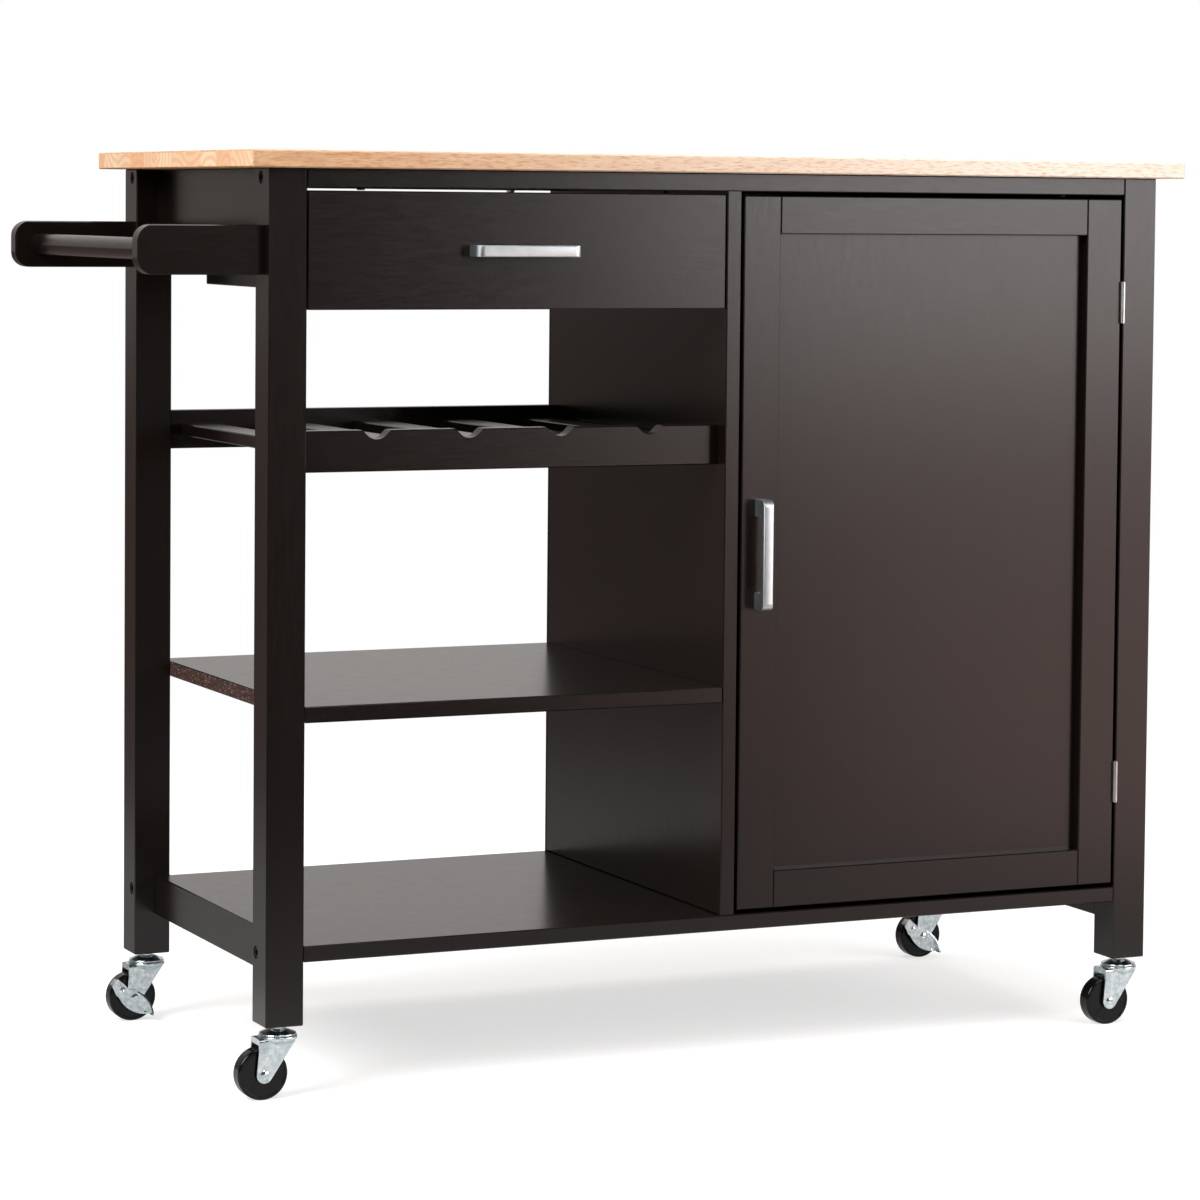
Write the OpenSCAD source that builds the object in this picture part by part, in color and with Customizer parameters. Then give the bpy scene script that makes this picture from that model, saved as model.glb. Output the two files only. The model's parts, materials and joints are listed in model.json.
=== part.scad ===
// Kitchen island cart on four swivel casters.
// Half of the carcass is open, with a drawer, a bottle rack and a shelf; the other half is a
// cabinet with a framed door. A towel handle stands out from the open end.
// The origin is on the floor, at the middle of the whole cart; X runs along the cart with the
// handle at -X, the front with its drawer and door faces -Y, and Z is up.

/* [Frame] */
// Length over the legs
frame_l = 934; // [800:1:1300]
// Depth over the legs
frame_d = 420; // [380:1:600]
// Length of a leg
leg_h = 780; // [740:1:900]
// Side of the square legs
leg = 36.5; // [33:0.5:50]
// Bevel along the edges of legs and boards
ease = 1; // [0.4:0.1:2]
// Thickness of shelves, panels and side rails
board_t = 15; // [12:0.5:22]
// Distance that shelves and divider stop short of the back of the legs
back_gap = 8; // [5:0.5:16]
// Height of the two long top rails
top_rail_t = 17; // [14:0.5:25]
// Depth of the two long top rails
top_rail_d = 45; // [38:1:70]
// Height of the apron under the top at the handle end
apron_h = 94; // [60:1:120]
// Height of the low side rail at the handle end
side_rail_h = 40; // [30:1:60]
// Height of the low side rail's underside above the leg's foot
side_rail_up = 39; // [25:1:80]
// Distance from the left legs' outer faces to the divider
divider_x = 459; // [380:1:520]

/* [Worktop] */
// Thickness of the wooden worktop
top_t = 16; // [14:0.5:40]
// Overhang of the worktop at both ends
top_over_end = 22; // [5:1:60]
// Overhang of the worktop at front and back
top_over_side = 18; // [5:1:60]
// Bevel along the edges of the worktop
top_ease = 1.2; // [0.5:0.1:4]

/* [Shelves and rack] */
// Height of the bottom shelf's surface above the leg's foot
bottom_shelf_up = 73; // [60:1:120]
// Height of the middle shelf's surface above the leg's foot
middle_shelf_up = 292; // [220:1:400]
// Height of the bottle rack's rails above the leg's foot
rack_up = 541.5; // [480:0.5:600]
// Height of the rack's rails
rack_rail_h = 38; // [30:1:60]
// Distance of the front rack rail behind the front of the legs
rack_set_back = 17.3; // [5:0.1:20]
// Distance of the back rack rail in front of the back of the legs
rack_back_gap = 14; // [9:0.5:20]
// Width of a bottle slat
slat_w = 33.5; // [20:0.5:40]
// Thickness of a bottle slat
slat_t = 12; // [8:0.5:18]
// Distance from slat to slat, with as many slats as fit
slat_pitch = 92; // [80:1:120]
// Gap between the left legs and the first slat
slat_first = 12.5; // [2:0.5:18]
// Radius of the round bottom of a neck rest
neck_r = 13; // [8:0.5:14]
// Depth of a neck rest below the top of the rail
neck_depth = 8.5; // [6:0.5:12]
// Height of the cabinet's inner shelf above the leg's foot
cabinet_shelf_up = 420; // [300:1:520]
// Thickness of the cabinet's back board
back_t = 3; // [2.5:0.5:5]

/* [Drawer] */
// Height of the drawer front
drawer_front_h = 108; // [100:1:140]
// Thickness of the drawer front
drawer_front_t = 16; // [12:0.5:22]
// Gap between the drawer front and leg or divider
drawer_gap = 1.5; // [1:0.1:4]
// Gap above the drawer front
drawer_head_gap = 3; // [2:0.1:6]
// Height of the drawer's side boards
drawer_side_h = 80; // [60:1:85]
// Thickness of the drawer's side boards
drawer_side_t = 12; // [9:0.5:15]
// Distance from the front's lower edge up to the side boards
drawer_side_up = 16.5; // [12:0.5:22]
// Length of the drawer box behind its front
drawer_l = 300; // [250:5:320]
// Thickness of the drawer's bottom
drawer_bottom_t = 4; // [3:0.5:6]

/* [Drawer runners] */
// Space that one runner takes between drawer and carcass
runner_w = 12.7; // [12:0.1:14]
// Height of a runner
runner_h = 35; // [32:1:45]
// Thickness of the runner's sheet steel
runner_sheet = 1.2; // [1:0.1:1.5]
// Diameter of the runner's balls
runner_ball = 3.2; // [2.5:0.1:4]
// Travel of the drawer
drawer_travel = 220; // [150:5:220]

/* [Door] */
// Thickness of the door frame
door_t = 18; // [15:0.5:22]
// Width of the door's stiles
stile_w = 39; // [30:1:80]
// Width of the door's rails
door_rail_w = 36; // [30:1:80]
// Depth of the door panel behind the frame's face
panel_recess = 10; // [4:0.5:10]
// Thickness of the door panel
panel_t = 5; // [3:0.5:6]
// Depth of the grooves that hold the panel
groove_d = 6.5; // [5:0.5:10]
// Gap between door, divider and leg
door_gap = 3; // [2.6:0.1:4]
// Gap above and below the door
door_end_gap = 4; // [2:0.5:6]
// Distance from the door's ends to the middle of its hinges
hinge_inset = 102; // [60:1:200]
// Height of a hinge
hinge_h = 40; // [30:1:60]

/* [Pulls] */
// Distance between a pull's screws
pull_centres = 89; // [64:1:128]
// Distance that a pull stands out
pull_out = 20; // [16:0.5:35]
// Height of a pull's bar
pull_w = 10.5; // [8:0.5:16]
// Thickness of a pull's bar
pull_t = 6; // [4:0.5:8]
// Length of a pull's feet along the bar
pull_foot = 16; // [12:0.5:20]
// Radius of the bends in a pull
pull_bend = 7; // [4:0.5:9]

/* [Towel handle] */
// Distance that the handle's arms reach from the legs
arm_reach = 120; // [80:1:160]
// Height of an arm
arm_h = 45; // [36:1:60]
// Thickness of an arm
arm_t = 16; // [12:0.5:22]
// Radius of an arm's round corners
arm_r = 15.5; // [5:0.5:16]
// Distance from the underside of the worktop to the middle of the arms
arm_down = 74; // [40:1:85]
// Diameter of the towel bar
bar_d = 20; // [14:0.5:26]
// Distance from an arm's end to the middle of the bar
bar_inset = 25; // [20:0.5:40]

/* [Casters] */
// Height of a caster below the leg
caster_h = 68; // [66:1:80]
// Diameter of a wheel
wheel_d = 48; // [40:1:48]
// Width of a wheel
wheel_w = 16; // [12:0.5:20]
// Distance of the axle behind the swivel axis
caster_trail = 16.5; // [12:0.5:18]
// Diameter of the swivel head
swivel_d = 36; // [34:0.5:42]
// Thickness of the fork's steel
fork_t = 2; // [1.5:0.1:3]
// Diameter of an axle
axle_d = 6; // [5:0.5:8]
// Diameter of the stem screwed up into a leg
stem_d = 10; // [8:0.5:12]
// Length of the stem inside a leg
stem_l = 34; // [25:1:45]

/* [Fasteners] */
// Diameter of the frame bolts
bolt_d = 6; // [5:0.5:8]
// Diameter of the bolts' heads
bolt_head_d = 10; // [9:0.5:13]
// Depth of the recess for a bolt's head
bolt_recess = 6; // [5.5:0.5:10]
// Distance that a frame bolt reaches into a rail or shelf
bolt_reach = 42; // [34:1:55]
// Distance of the upper bolts from the outer face of the legs
bolt_in_top = 22.5; // [15:0.5:26]
// Distance of the lower bolts from the outer face of the legs
bolt_in_low = 27; // [15:0.5:28]
// Distance of the worktop's screws from the legs and the divider
top_screw_in = 60; // [40:1:90]

/* [Hidden] */
$fn = 48;

// Finishes
espresso = "#33261f";
raw_board = "#8a6a4c";
beech = "#d9b183";
nickel = "#c4c4c0";
zinc = "#b9c0c4";
wheel_black = "#1b1b1d";
steel = "#9a9da0";
black_steel = "#26262a";
catch_white = "#e6e6e2";

// Clearances
fit = 0.05;        // round a shaft, stem or screw that fits its bore
slide_fit = 0.08;  // beside a part that slides or turns on another
run = 0.3;         // between pieces that pass each other
over = 1;          // how far a cutter reaches past what it cuts

// Levels, from the floor up
foot_z = caster_h;
under_top_z = foot_z + leg_h;
top_z = under_top_z + top_t;
rail_z = under_top_z - top_rail_t;
bottom_shelf_z = foot_z + bottom_shelf_up;
middle_shelf_z = foot_z + middle_shelf_up;
rack_z = foot_z + rack_up;
slat_z = rack_z - (rack_rail_h - slat_t) / 2;
cabinet_shelf_z = foot_z + cabinet_shelf_up;
arm_z = under_top_z - arm_down;

// Places along X and Y, from the left front leg's outer corner
left_in = leg;
right_in = frame_l - leg;
divider_right = divider_x + board_t;
back_y = frame_d - back_gap;
rack_back_y = frame_d - rack_back_gap;
x_mid = (frame_l + top_over_end - arm_reach) / 2;
y_mid = (frame_d + top_over_side - max(top_over_side, pull_out)) / 2;

// Drawer
drawer_x0 = left_in + drawer_gap;
drawer_x1 = divider_x - drawer_gap;
drawer_z1 = rail_z - drawer_head_gap;
drawer_z0 = drawer_z1 - drawer_front_h;
drawer_mid_z = (drawer_z0 + drawer_z1) / 2;
box_x0 = left_in + runner_w;
box_x1 = divider_x - runner_w;
box_z0 = drawer_z0 + drawer_side_up;
box_y1 = drawer_front_t + drawer_l;
drawer_groove_up = 6;
drawer_groove_d = 5;

// Runners
runner_z = box_z0 + drawer_side_h / 2;
runner_y0 = drawer_front_t + 2;
runner_play = 0.15;
runner_inner_h = runner_h - 2 * (runner_sheet + runner_ball + 2 * runner_play);
runner_lap = drawer_l - 2 - drawer_travel;
cage_play = 2;
cage_l = runner_lap - 2 * cage_play;
cage_y0 = runner_y0 + drawer_travel / 2 + cage_play;

// Door
door_x0 = divider_right + door_gap;
door_x1 = right_in - door_gap;
door_z0 = bottom_shelf_z + door_end_gap;
door_z1 = rail_z - door_end_gap;
door_l = door_x1 - door_x0;
door_h = door_z1 - door_z0;
groove_play = 0.15;
hinge_x = right_in - door_gap / 2;
hinge_y = -1.8;
hinge_r = 2.4;
hinge_pin_r = 1.2;
hinge_leaf_t = 1.2;
hinge_leaf_d = 15;
hinge_leaf_from = 2.9;
hinge_zs = [door_z0 + hinge_inset, door_z1 - hinge_inset];
knuckle_n = 5;
knuckle_h = hinge_h / knuckle_n;

// Casters, as [x, y] of the swivel axes
caster_fl = [leg / 2, leg / 2];
caster_bl = [leg / 2, frame_d - leg / 2];
caster_fr = [frame_l - leg / 2, leg / 2];
caster_br = [frame_l - leg / 2, frame_d - leg / 2];
casters = [caster_fl, caster_bl, caster_fr, caster_br];
wheel_r = wheel_d / 2;
cheek_y = wheel_w / 2 + 2;
fork_y = cheek_y + fork_t;
cheek_r = 7.5;
crown_t = 2.2;
crown_z = caster_h - 13.5;
crown_top = crown_z + crown_t;
ball_room = 1.9;
plate_z = crown_top + ball_room;
kingpin_r = 4;
swivel_r = swivel_d / 2;
fork_rear = caster_trail + 5;
fork_bend = fork_t + 0.8;
brake_t = 1.5;
axle_head_r = axle_d / 2 + 1.4;
axle_head_t = 1.4;

// Fasteners
bolt_len = leg - bolt_recess + bolt_reach;
nut_d = 10;
nut_l = 12;
nut_back = 10;
top_bolt_z = rail_z + top_rail_t / 2;
low_bolt_z = bottom_shelf_z - board_t / 2;
screw_d = 4.5;
screw_head_d = 9;
screw_head_t = 2.4;
screw_bite = 11;
pull_screw_d = 4;
pull_screw_bite = 9;
pin_d = 5;
pin_deep = 9;
pin_out = 8;
pin_from_edge = 30;

// ---------------------------------------------------------------- shared shapes

// Moves from the front left leg's corner to the middle of the whole cart
module in_cart() {
    translate([-x_mid, -y_mid, 0])
        children();
}

// Rectangle with its four corners bevelled
module bevelled_rectangle(w, h, bevel) {
    polygon([
        [bevel, 0], [w - bevel, 0], [w, bevel], [w, h - bevel],
        [w - bevel, h], [bevel, h], [0, h - bevel], [0, bevel]
    ]);
}

// Board with all twelve edges bevelled
module board(size, bevel = ease) {
    intersection() {
        linear_extrude(size.z)
            bevelled_rectangle(size.x, size.y, bevel);
        translate([0, size.y, 0])
            rotate([90, 0, 0])
                linear_extrude(size.y)
                    bevelled_rectangle(size.x, size.z, bevel);
        rotate([90, 0, 90])
            linear_extrude(size.x)
                bevelled_rectangle(size.y, size.z, bevel);
    }
}

// Board between two corners
module board_between(low, high, bevel = ease) {
    translate(low)
        board(high - low, bevel);
}

// Cylinder along +X
module x_rod(d, l) {
    rotate([0, 90, 0])
        cylinder(d = d, h = l);
}

// Cylinder along +Y
module y_rod(d, l) {
    rotate([-90, 0, 0])
        cylinder(d = d, h = l);
}

// Point where a line from a point outside touches a circle; side is 1 or -1
function touch(centre, r, from, side) =
    let (
        d = from - centre,
        reach = norm(d),
        turn = side * acos(r / reach),
        along = atan2(d.y, d.x) + turn
    )
    centre + r * [cos(along), sin(along)];

// ---------------------------------------------------------------- worktop and frame

// Places of the screws that hold the worktop, along the top rails
top_screw_xs = [
    left_in + top_screw_in, divider_x + board_t / 2 - top_screw_in, right_in - top_screw_in
];
top_screw_ys = [top_rail_d / 2, frame_d - top_rail_d / 2];

module tabletop() {
    color(beech)
    in_cart()
        difference() {
            board_between(
                [-top_over_end, -top_over_side, under_top_z],
                [frame_l + top_over_end, frame_d + top_over_side, top_z],
                top_ease
            );
            for (x = top_screw_xs, y = top_screw_ys)
                translate([x, y, under_top_z - over])
                    cylinder(d = screw_d + 2 * fit, h = over + screw_bite + fit);
        }
}

// Hole through a leg for a bolt along X, with a recess for its head at x = 0
module bolt_hole() {
    translate([-over, 0, 0])
        x_rod(bolt_head_d + 2, over + bolt_recess);
    x_rod(bolt_d + 2 * fit, leg + over);
}

// Hole for the same bolt in the end of a rail or shelf, from x = 0 on, with the barrel nut's hole
module bolt_end_hole(under) {
    translate([-over, 0, 0])
        x_rod(bolt_d + 2 * fit, over + bolt_reach + 1);
    translate([bolt_reach - nut_back, 0, -under - over])
        cylinder(d = nut_d + 2 * fit, h = under + over + nut_l / 2 + fit);
}

// Leg with its outer faces at x = 0 and y = 0, and its foot at z = 0
module leg_shape(with_arm) {
    difference() {
        board([leg, leg, leg_h]);
        translate([0, bolt_in_top, top_bolt_z - foot_z])
            bolt_hole();
        translate([0, bolt_in_low, low_bolt_z - foot_z])
            bolt_hole();
        translate([leg / 2, leg / 2, -over])
            cylinder(d = stem_d + 2 * fit, h = over + stem_l + 1);
        if (with_arm)
            translate([leg, leg / 2, arm_z - foot_z])
                mirror([1, 0, 0])
                    bolt_hole();
    }
}

module leg_front_left() {
    color(espresso)
    in_cart()
        translate([0, 0, foot_z])
            leg_shape(true);
}

module leg_back_left() {
    color(espresso)
    in_cart()
        translate([0, frame_d, foot_z])
            mirror([0, 1, 0])
                leg_shape(true);
}

module leg_front_right() {
    color(espresso)
    in_cart()
        translate([frame_l, 0, foot_z])
            mirror([1, 0, 0])
                leg_shape(false);
}

module leg_back_right() {
    color(espresso)
    in_cart()
        translate([frame_l, frame_d, foot_z])
            mirror([1, 0, 0])
                mirror([0, 1, 0])
                    leg_shape(false);
}

// Long top rail at the front; the back one is its mirror image
module top_rail_shape() {
    difference() {
        board_between([left_in, 0, rail_z], [right_in, top_rail_d, under_top_z]);
        translate([left_in, bolt_in_top, top_bolt_z])
            bolt_end_hole(top_rail_t / 2);
        translate([right_in, bolt_in_top, top_bolt_z])
            mirror([1, 0, 0])
                bolt_end_hole(top_rail_t / 2);
        for (x = top_screw_xs)
            translate([x, top_rail_d / 2, rail_z - over])
                cylinder(d = screw_d + 2 * fit, h = top_rail_t + 2 * over);
    }
}

module top_rail_front() {
    color(espresso)
    in_cart()
        top_rail_shape();
}

module top_rail_back() {
    color(espresso)
    in_cart()
        translate([0, frame_d, 0])
            mirror([0, 1, 0])
                top_rail_shape();
}

module apron_left() {
    color(espresso)
    in_cart()
        board_between(
            [left_in - board_t, leg, under_top_z - apron_h],
            [left_in, frame_d - leg, under_top_z]
        );
}

module side_rail_left() {
    color(espresso)
    in_cart()
        board_between(
            [left_in - board_t, leg, foot_z + side_rail_up],
            [left_in, frame_d - leg, foot_z + side_rail_up + side_rail_h]
        );
}

// Holes for the cabinet shelf's pins, bored from x = 0 towards -X
module pin_holes() {
    for (y = [leg + pin_from_edge, frame_d - leg - pin_from_edge])
        translate([over, y, cabinet_shelf_z - board_t - pin_d / 2])
            mirror([1, 0, 0])
                x_rod(pin_d + 2 * fit, over + pin_deep + fit);
}

module side_panel_right() {
    color(espresso)
    in_cart()
        difference() {
            board_between(
                [right_in, leg, foot_z + side_rail_up],
                [right_in + board_t, frame_d - leg, under_top_z]
            );
            translate([right_in, 0, 0])
                mirror([1, 0, 0])
                    pin_holes();
        }
}

// Divider, notched at its top corners for the two long rails
module divider_panel() {
    color(espresso)
    in_cart()
        difference() {
            board_between(
                [divider_x, 0, bottom_shelf_z],
                [divider_right, back_y, under_top_z]
            );
            translate([divider_x - over, -over, rail_z])
                cube([board_t + 2 * over, top_rail_d + over, top_rail_t + over]);
            translate([divider_x - over, frame_d - top_rail_d, rail_z])
                cube([board_t + 2 * over, top_rail_d, top_rail_t + over]);
            translate([divider_right, 0, 0])
                pin_holes();
        }
}

// ---------------------------------------------------------------- shelves

module bottom_shelf() {
    color(espresso)
    in_cart()
        difference() {
            board_between(
                [left_in, 0, bottom_shelf_z - board_t],
                [right_in, back_y, bottom_shelf_z]
            );
            for (y = [bolt_in_low, frame_d - bolt_in_low]) {
                translate([left_in, y, low_bolt_z])
                    bolt_end_hole(board_t / 2);
                translate([right_in, y, low_bolt_z])
                    mirror([1, 0, 0])
                        bolt_end_hole(board_t / 2);
            }
        }
}

module middle_shelf() {
    color(espresso)
    in_cart()
        board_between(
            [left_in, 0, middle_shelf_z - board_t],
            [divider_x, back_y, middle_shelf_z]
        );
}

// Shelf inside the cabinet, loose on its four pins
module cabinet_shelf() {
    color(espresso)
    in_cart()
        board_between(
            [divider_right + run, door_t + 4, cabinet_shelf_z - board_t],
            [right_in - run, back_y - run, cabinet_shelf_z]
        );
}

module cabinet_back() {
    color(espresso)
    in_cart()
        translate([divider_x, back_y, bottom_shelf_z - board_t])
            cube([right_in - divider_x, back_t, rail_z - bottom_shelf_z + board_t]);
}

// Shelf pin with a flat-topped ledge; its flange is at x = 0 and its shank runs to -X
module shelf_pin() {
    translate([-pin_deep, 0, 0])
        x_rod(pin_d, pin_deep + pin_out / 2);
    translate([0, -pin_d / 2, 0])
        cube([pin_out, pin_d, pin_d / 2]);
    intersection() {
        x_rod(pin_d + 2.5, 1.2);
        translate([0, -pin_d, -pin_d])
            cube([1.2, 2 * pin_d, 1.5 * pin_d]);
    }
}

module shelf_pins() {
    color(steel)
    in_cart()
        for (y = [leg + pin_from_edge, frame_d - leg - pin_from_edge]) {
            translate([divider_right, y, cabinet_shelf_z - board_t - pin_d / 2])
                shelf_pin();
            translate([right_in, y, cabinet_shelf_z - board_t - pin_d / 2])
                mirror([1, 0, 0])
                    shelf_pin();
        }
}

// ---------------------------------------------------------------- bottle rack

slat_x0 = left_in + slat_first;
slat_n = floor((divider_x - slat_w - slat_x0) / slat_pitch) + 1;

// Outline that a neck rest cuts out of the rail: a round bottom between flared sides
module neck_rest() {
    side = 45;
    round_z = rack_z - neck_depth + neck_r;
    edge_x = neck_r * sin(side);
    edge_z = round_z - neck_r * cos(side);
    top_x = edge_x + (rack_z + over - edge_z) / tan(side);
    translate([0, round_z])
        circle(r = neck_r);
    polygon([[-edge_x, edge_z], [edge_x, edge_z], [top_x, rack_z + over], [-top_x, rack_z + over]]);
}

module rack_rail_front() {
    color(espresso)
    in_cart()
        difference() {
            board_between(
                [left_in, rack_set_back, rack_z - rack_rail_h],
                [divider_x, rack_set_back + board_t, rack_z]
            );
            for (i = [0 : slat_n - 2])
                translate([slat_x0 + (slat_w + slat_pitch) / 2 + i * slat_pitch,
                           rack_set_back + board_t + over, 0])
                    rotate([90, 0, 0])
                        linear_extrude(board_t + 2 * over)
                            neck_rest();
        }
}

module rack_rail_back() {
    color(espresso)
    in_cart()
        board_between(
            [left_in, rack_back_y - board_t, rack_z - rack_rail_h],
            [divider_x, rack_back_y, rack_z]
        );
}

module rack_slats() {
    color(espresso)
    in_cart()
        for (i = [0 : slat_n - 1])
            board_between(
                [slat_x0 + i * slat_pitch, rack_set_back + board_t, slat_z - slat_t],
                [slat_x0 + i * slat_pitch + slat_w, rack_back_y - board_t, slat_z]
            );
}

// ---------------------------------------------------------------- towel handle

tenon_d = bar_d - 7;
tenon_l = arm_t / 2;

// Arm in the plane y = 0 .. arm_t, its root at x = 0, reaching to -X
module arm_shape() {
    difference() {
        intersection() {
            translate([0, arm_t, 0])
                rotate([90, 0, 0])
                    linear_extrude(arm_t)
                        union() {
                            translate([-arm_reach, -arm_h / 2 + arm_r])
                                square([arm_reach, arm_h - 2 * arm_r]);
                            translate([-arm_reach + arm_r, -arm_h / 2])
                                square([arm_reach - arm_r, arm_h]);
                            for (z = [-1, 1])
                                translate([-arm_reach + arm_r, z * (arm_h / 2 - arm_r)])
                                    circle(r = arm_r);
                        }
            translate([-arm_reach, 0, -arm_h / 2])
                board([arm_reach + ease, arm_t, arm_h]);
        }
        translate([bar_inset - arm_reach, tenon_l - fit, 0])
            y_rod(tenon_d + 2 * fit, tenon_l + over);
        mirror([1, 0, 0])
            translate([0, arm_t / 2, 0])
                bolt_end_hole(arm_h / 2);
    }
}

arm_front_y = (leg - arm_t) / 2;

module towel_arm_front() {
    color(espresso)
    in_cart()
        translate([0, arm_front_y, arm_z])
            arm_shape();
}

module towel_arm_back() {
    color(espresso)
    in_cart()
        translate([0, frame_d - arm_front_y, arm_z])
            mirror([0, 1, 0])
                arm_shape();
}

// Round bar with a thinner tenon at each end
module towel_bar() {
    gap_y = arm_front_y + arm_t;
    color(espresso)
    in_cart()
        translate([bar_inset - arm_reach, 0, arm_z]) {
            translate([0, gap_y, 0])
                y_rod(bar_d, frame_d - 2 * gap_y);
            translate([0, gap_y - tenon_l, 0])
                y_rod(tenon_d, frame_d - 2 * gap_y + 2 * tenon_l);
        }
}

// ---------------------------------------------------------------- fasteners

// Socket head bolt along +X, the top of its head at x = 0
module frame_bolt() {
    head_t = bolt_recess - 0.5;
    difference() {
        union() {
            x_rod(bolt_head_d, head_t);
            x_rod(bolt_d, head_t + bolt_len);
        }
        translate([-over, 0, 0])
            rotate([0, 90, 0])
                cylinder(d = 5.8, h = over + 3, $fn = 6);
    }
}

// Places of the bolts: each bolt starts in its recess and runs along +X in its own frame
module at_each_bolt() {
    for (y = [bolt_in_top, frame_d - bolt_in_top]) {
        translate([0, y, top_bolt_z])
            children();
        translate([frame_l, y, top_bolt_z])
            mirror([1, 0, 0])
                children();
    }
    for (y = [bolt_in_low, frame_d - bolt_in_low]) {
        translate([0, y, low_bolt_z])
            children();
        translate([frame_l, y, low_bolt_z])
            mirror([1, 0, 0])
                children();
    }
    for (y = [leg / 2, frame_d - leg / 2])
        translate([leg, y, arm_z])
            mirror([1, 0, 0])
                children();
}

module frame_bolts() {
    color(black_steel)
    in_cart()
        at_each_bolt()
            translate([0.5, 0, 0])
                frame_bolt();
}

module barrel_nuts() {
    color(steel)
    in_cart()
        at_each_bolt()
            translate([leg + bolt_reach - nut_back, 0, -nut_l / 2])
                difference() {
                    cylinder(d = nut_d, h = nut_l);
                    translate([-nut_d, 0, nut_l / 2])
                        x_rod(bolt_d + 2 * fit, 2 * nut_d);
                }
}

module top_screws() {
    color(steel)
    in_cart()
        for (x = top_screw_xs, y = top_screw_ys)
            translate([x, y, rail_z - screw_head_t]) {
                cylinder(d1 = screw_head_d - 2, d2 = screw_head_d, h = screw_head_t);
                cylinder(d = screw_d, h = screw_head_t + top_rail_t + screw_bite);
            }
}

// ---------------------------------------------------------------- drawer

module drawer_front() {
    color(espresso)
    in_cart()
        difference() {
            board_between(
                [drawer_x0, 0, drawer_z0],
                [drawer_x1, drawer_front_t, drawer_z1]
            );
            for (side = [-1, 1])
                translate([(drawer_x0 + drawer_x1) / 2 + side * pull_centres / 2, -over,
                           drawer_mid_z])
                    y_rod(pull_screw_d + 2 * fit, drawer_front_t + 2 * over);
        }
}

// Left side board of the drawer, grooved for the bottom
module drawer_side() {
    difference() {
        board_between(
            [box_x0, drawer_front_t, box_z0],
            [box_x0 + drawer_side_t, box_y1, box_z0 + drawer_side_h]
        );
        translate([box_x0 + drawer_side_t - drawer_groove_d, drawer_front_t - over,
                   box_z0 + drawer_groove_up - fit])
            cube([drawer_groove_d + over, drawer_l + 2 * over, drawer_bottom_t + 2 * fit]);
    }
}

module drawer_sides() {
    color(espresso)
    in_cart() {
        drawer_side();
        translate([left_in + divider_x, 0, 0])
            mirror([1, 0, 0])
                drawer_side();
    }
}

module drawer_back() {
    color(espresso)
    in_cart()
        board_between(
            [box_x0 + drawer_side_t, box_y1 - drawer_side_t,
             box_z0 + drawer_groove_up + drawer_bottom_t],
            [box_x1 - drawer_side_t, box_y1, box_z0 + drawer_side_h]
        );
}

module drawer_bottom() {
    into = drawer_side_t - drawer_groove_d + run;
    color(raw_board)
    in_cart()
        translate([box_x0 + into, drawer_front_t, box_z0 + drawer_groove_up])
            cube([box_x1 - box_x0 - 2 * into, drawer_l, drawer_bottom_t]);
}

// ---------------------------------------------------------------- pulls

// Outline of a pull in x and y: a flat bar bent round at both ends into its feet
module pull_outline() {
    inner_bend = pull_bend / 2;
    pull_l = pull_centres + pull_foot;
    opening_l = pull_centres - pull_foot;
    difference() {
        union() {
            translate([-pull_l / 2, pull_bend - pull_out])
                square([pull_l, pull_out - pull_bend]);
            translate([pull_bend - pull_l / 2, -pull_out])
                square([pull_l - 2 * pull_bend, pull_out]);
            for (side = [-1, 1])
                translate([side * (pull_l / 2 - pull_bend), pull_bend - pull_out])
                    circle(r = pull_bend);
        }
        translate([-opening_l / 2, pull_t + inner_bend - pull_out])
            square([opening_l, pull_out]);
        translate([inner_bend - opening_l / 2, pull_t - pull_out])
            square([opening_l - 2 * inner_bend, pull_out]);
        for (side = [-1, 1])
            translate([side * (opening_l / 2 - inner_bend), pull_t + inner_bend - pull_out])
                circle(r = inner_bend);
    }
}

// Bar pull along X, its feet on the plane y = 0 and its bar at y = -pull_out
module pull_shape() {
    pull_l = pull_centres + pull_foot;
    difference() {
        intersection() {
            translate([0, 0, -pull_w / 2])
                linear_extrude(pull_w)
                    pull_outline();
            translate([-pull_l / 2, -pull_out, -pull_w / 2])
                rotate([90, 0, 90])
                    linear_extrude(pull_l)
                        bevelled_rectangle(pull_out + 2, pull_w, 0.9);
        }
        for (side = [-1, 1])
            translate([side * pull_centres / 2, -pull_screw_bite - fit, 0])
                y_rod(pull_screw_d + 2 * fit, pull_screw_bite + over);
    }
}

// The two screws of a pull on a board of the given thickness
module pull_screw_pair(through) {
    for (side = [-1, 1])
        translate([side * pull_centres / 2, -pull_screw_bite, 0]) {
            y_rod(pull_screw_d, pull_screw_bite + through + 1);
            translate([0, pull_screw_bite + through, 0])
                rotate([-90, 0, 0])
                    cylinder(d1 = 2 * pull_screw_d, d2 = 1.4 * pull_screw_d, h = 2.2);
        }
}

module at_drawer_pull() {
    translate([(drawer_x0 + drawer_x1) / 2, 0, drawer_mid_z])
        children();
}

module at_door_pull() {
    translate([door_x0 + stile_w / 2, 0, (door_z0 + door_z1) / 2])
        rotate([0, 90, 0])
            children();
}

module drawer_pull() {
    color(nickel)
    in_cart()
        at_drawer_pull()
            pull_shape();
}

module drawer_pull_screws() {
    color(steel)
    in_cart()
        at_drawer_pull()
            pull_screw_pair(drawer_front_t);
}

module door_pull() {
    color(nickel)
    in_cart()
        at_door_pull()
            pull_shape();
}

module door_pull_screws() {
    color(steel)
    in_cart()
        at_door_pull()
            pull_screw_pair(door_t);
}

// ---------------------------------------------------------------- drawer runners

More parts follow.
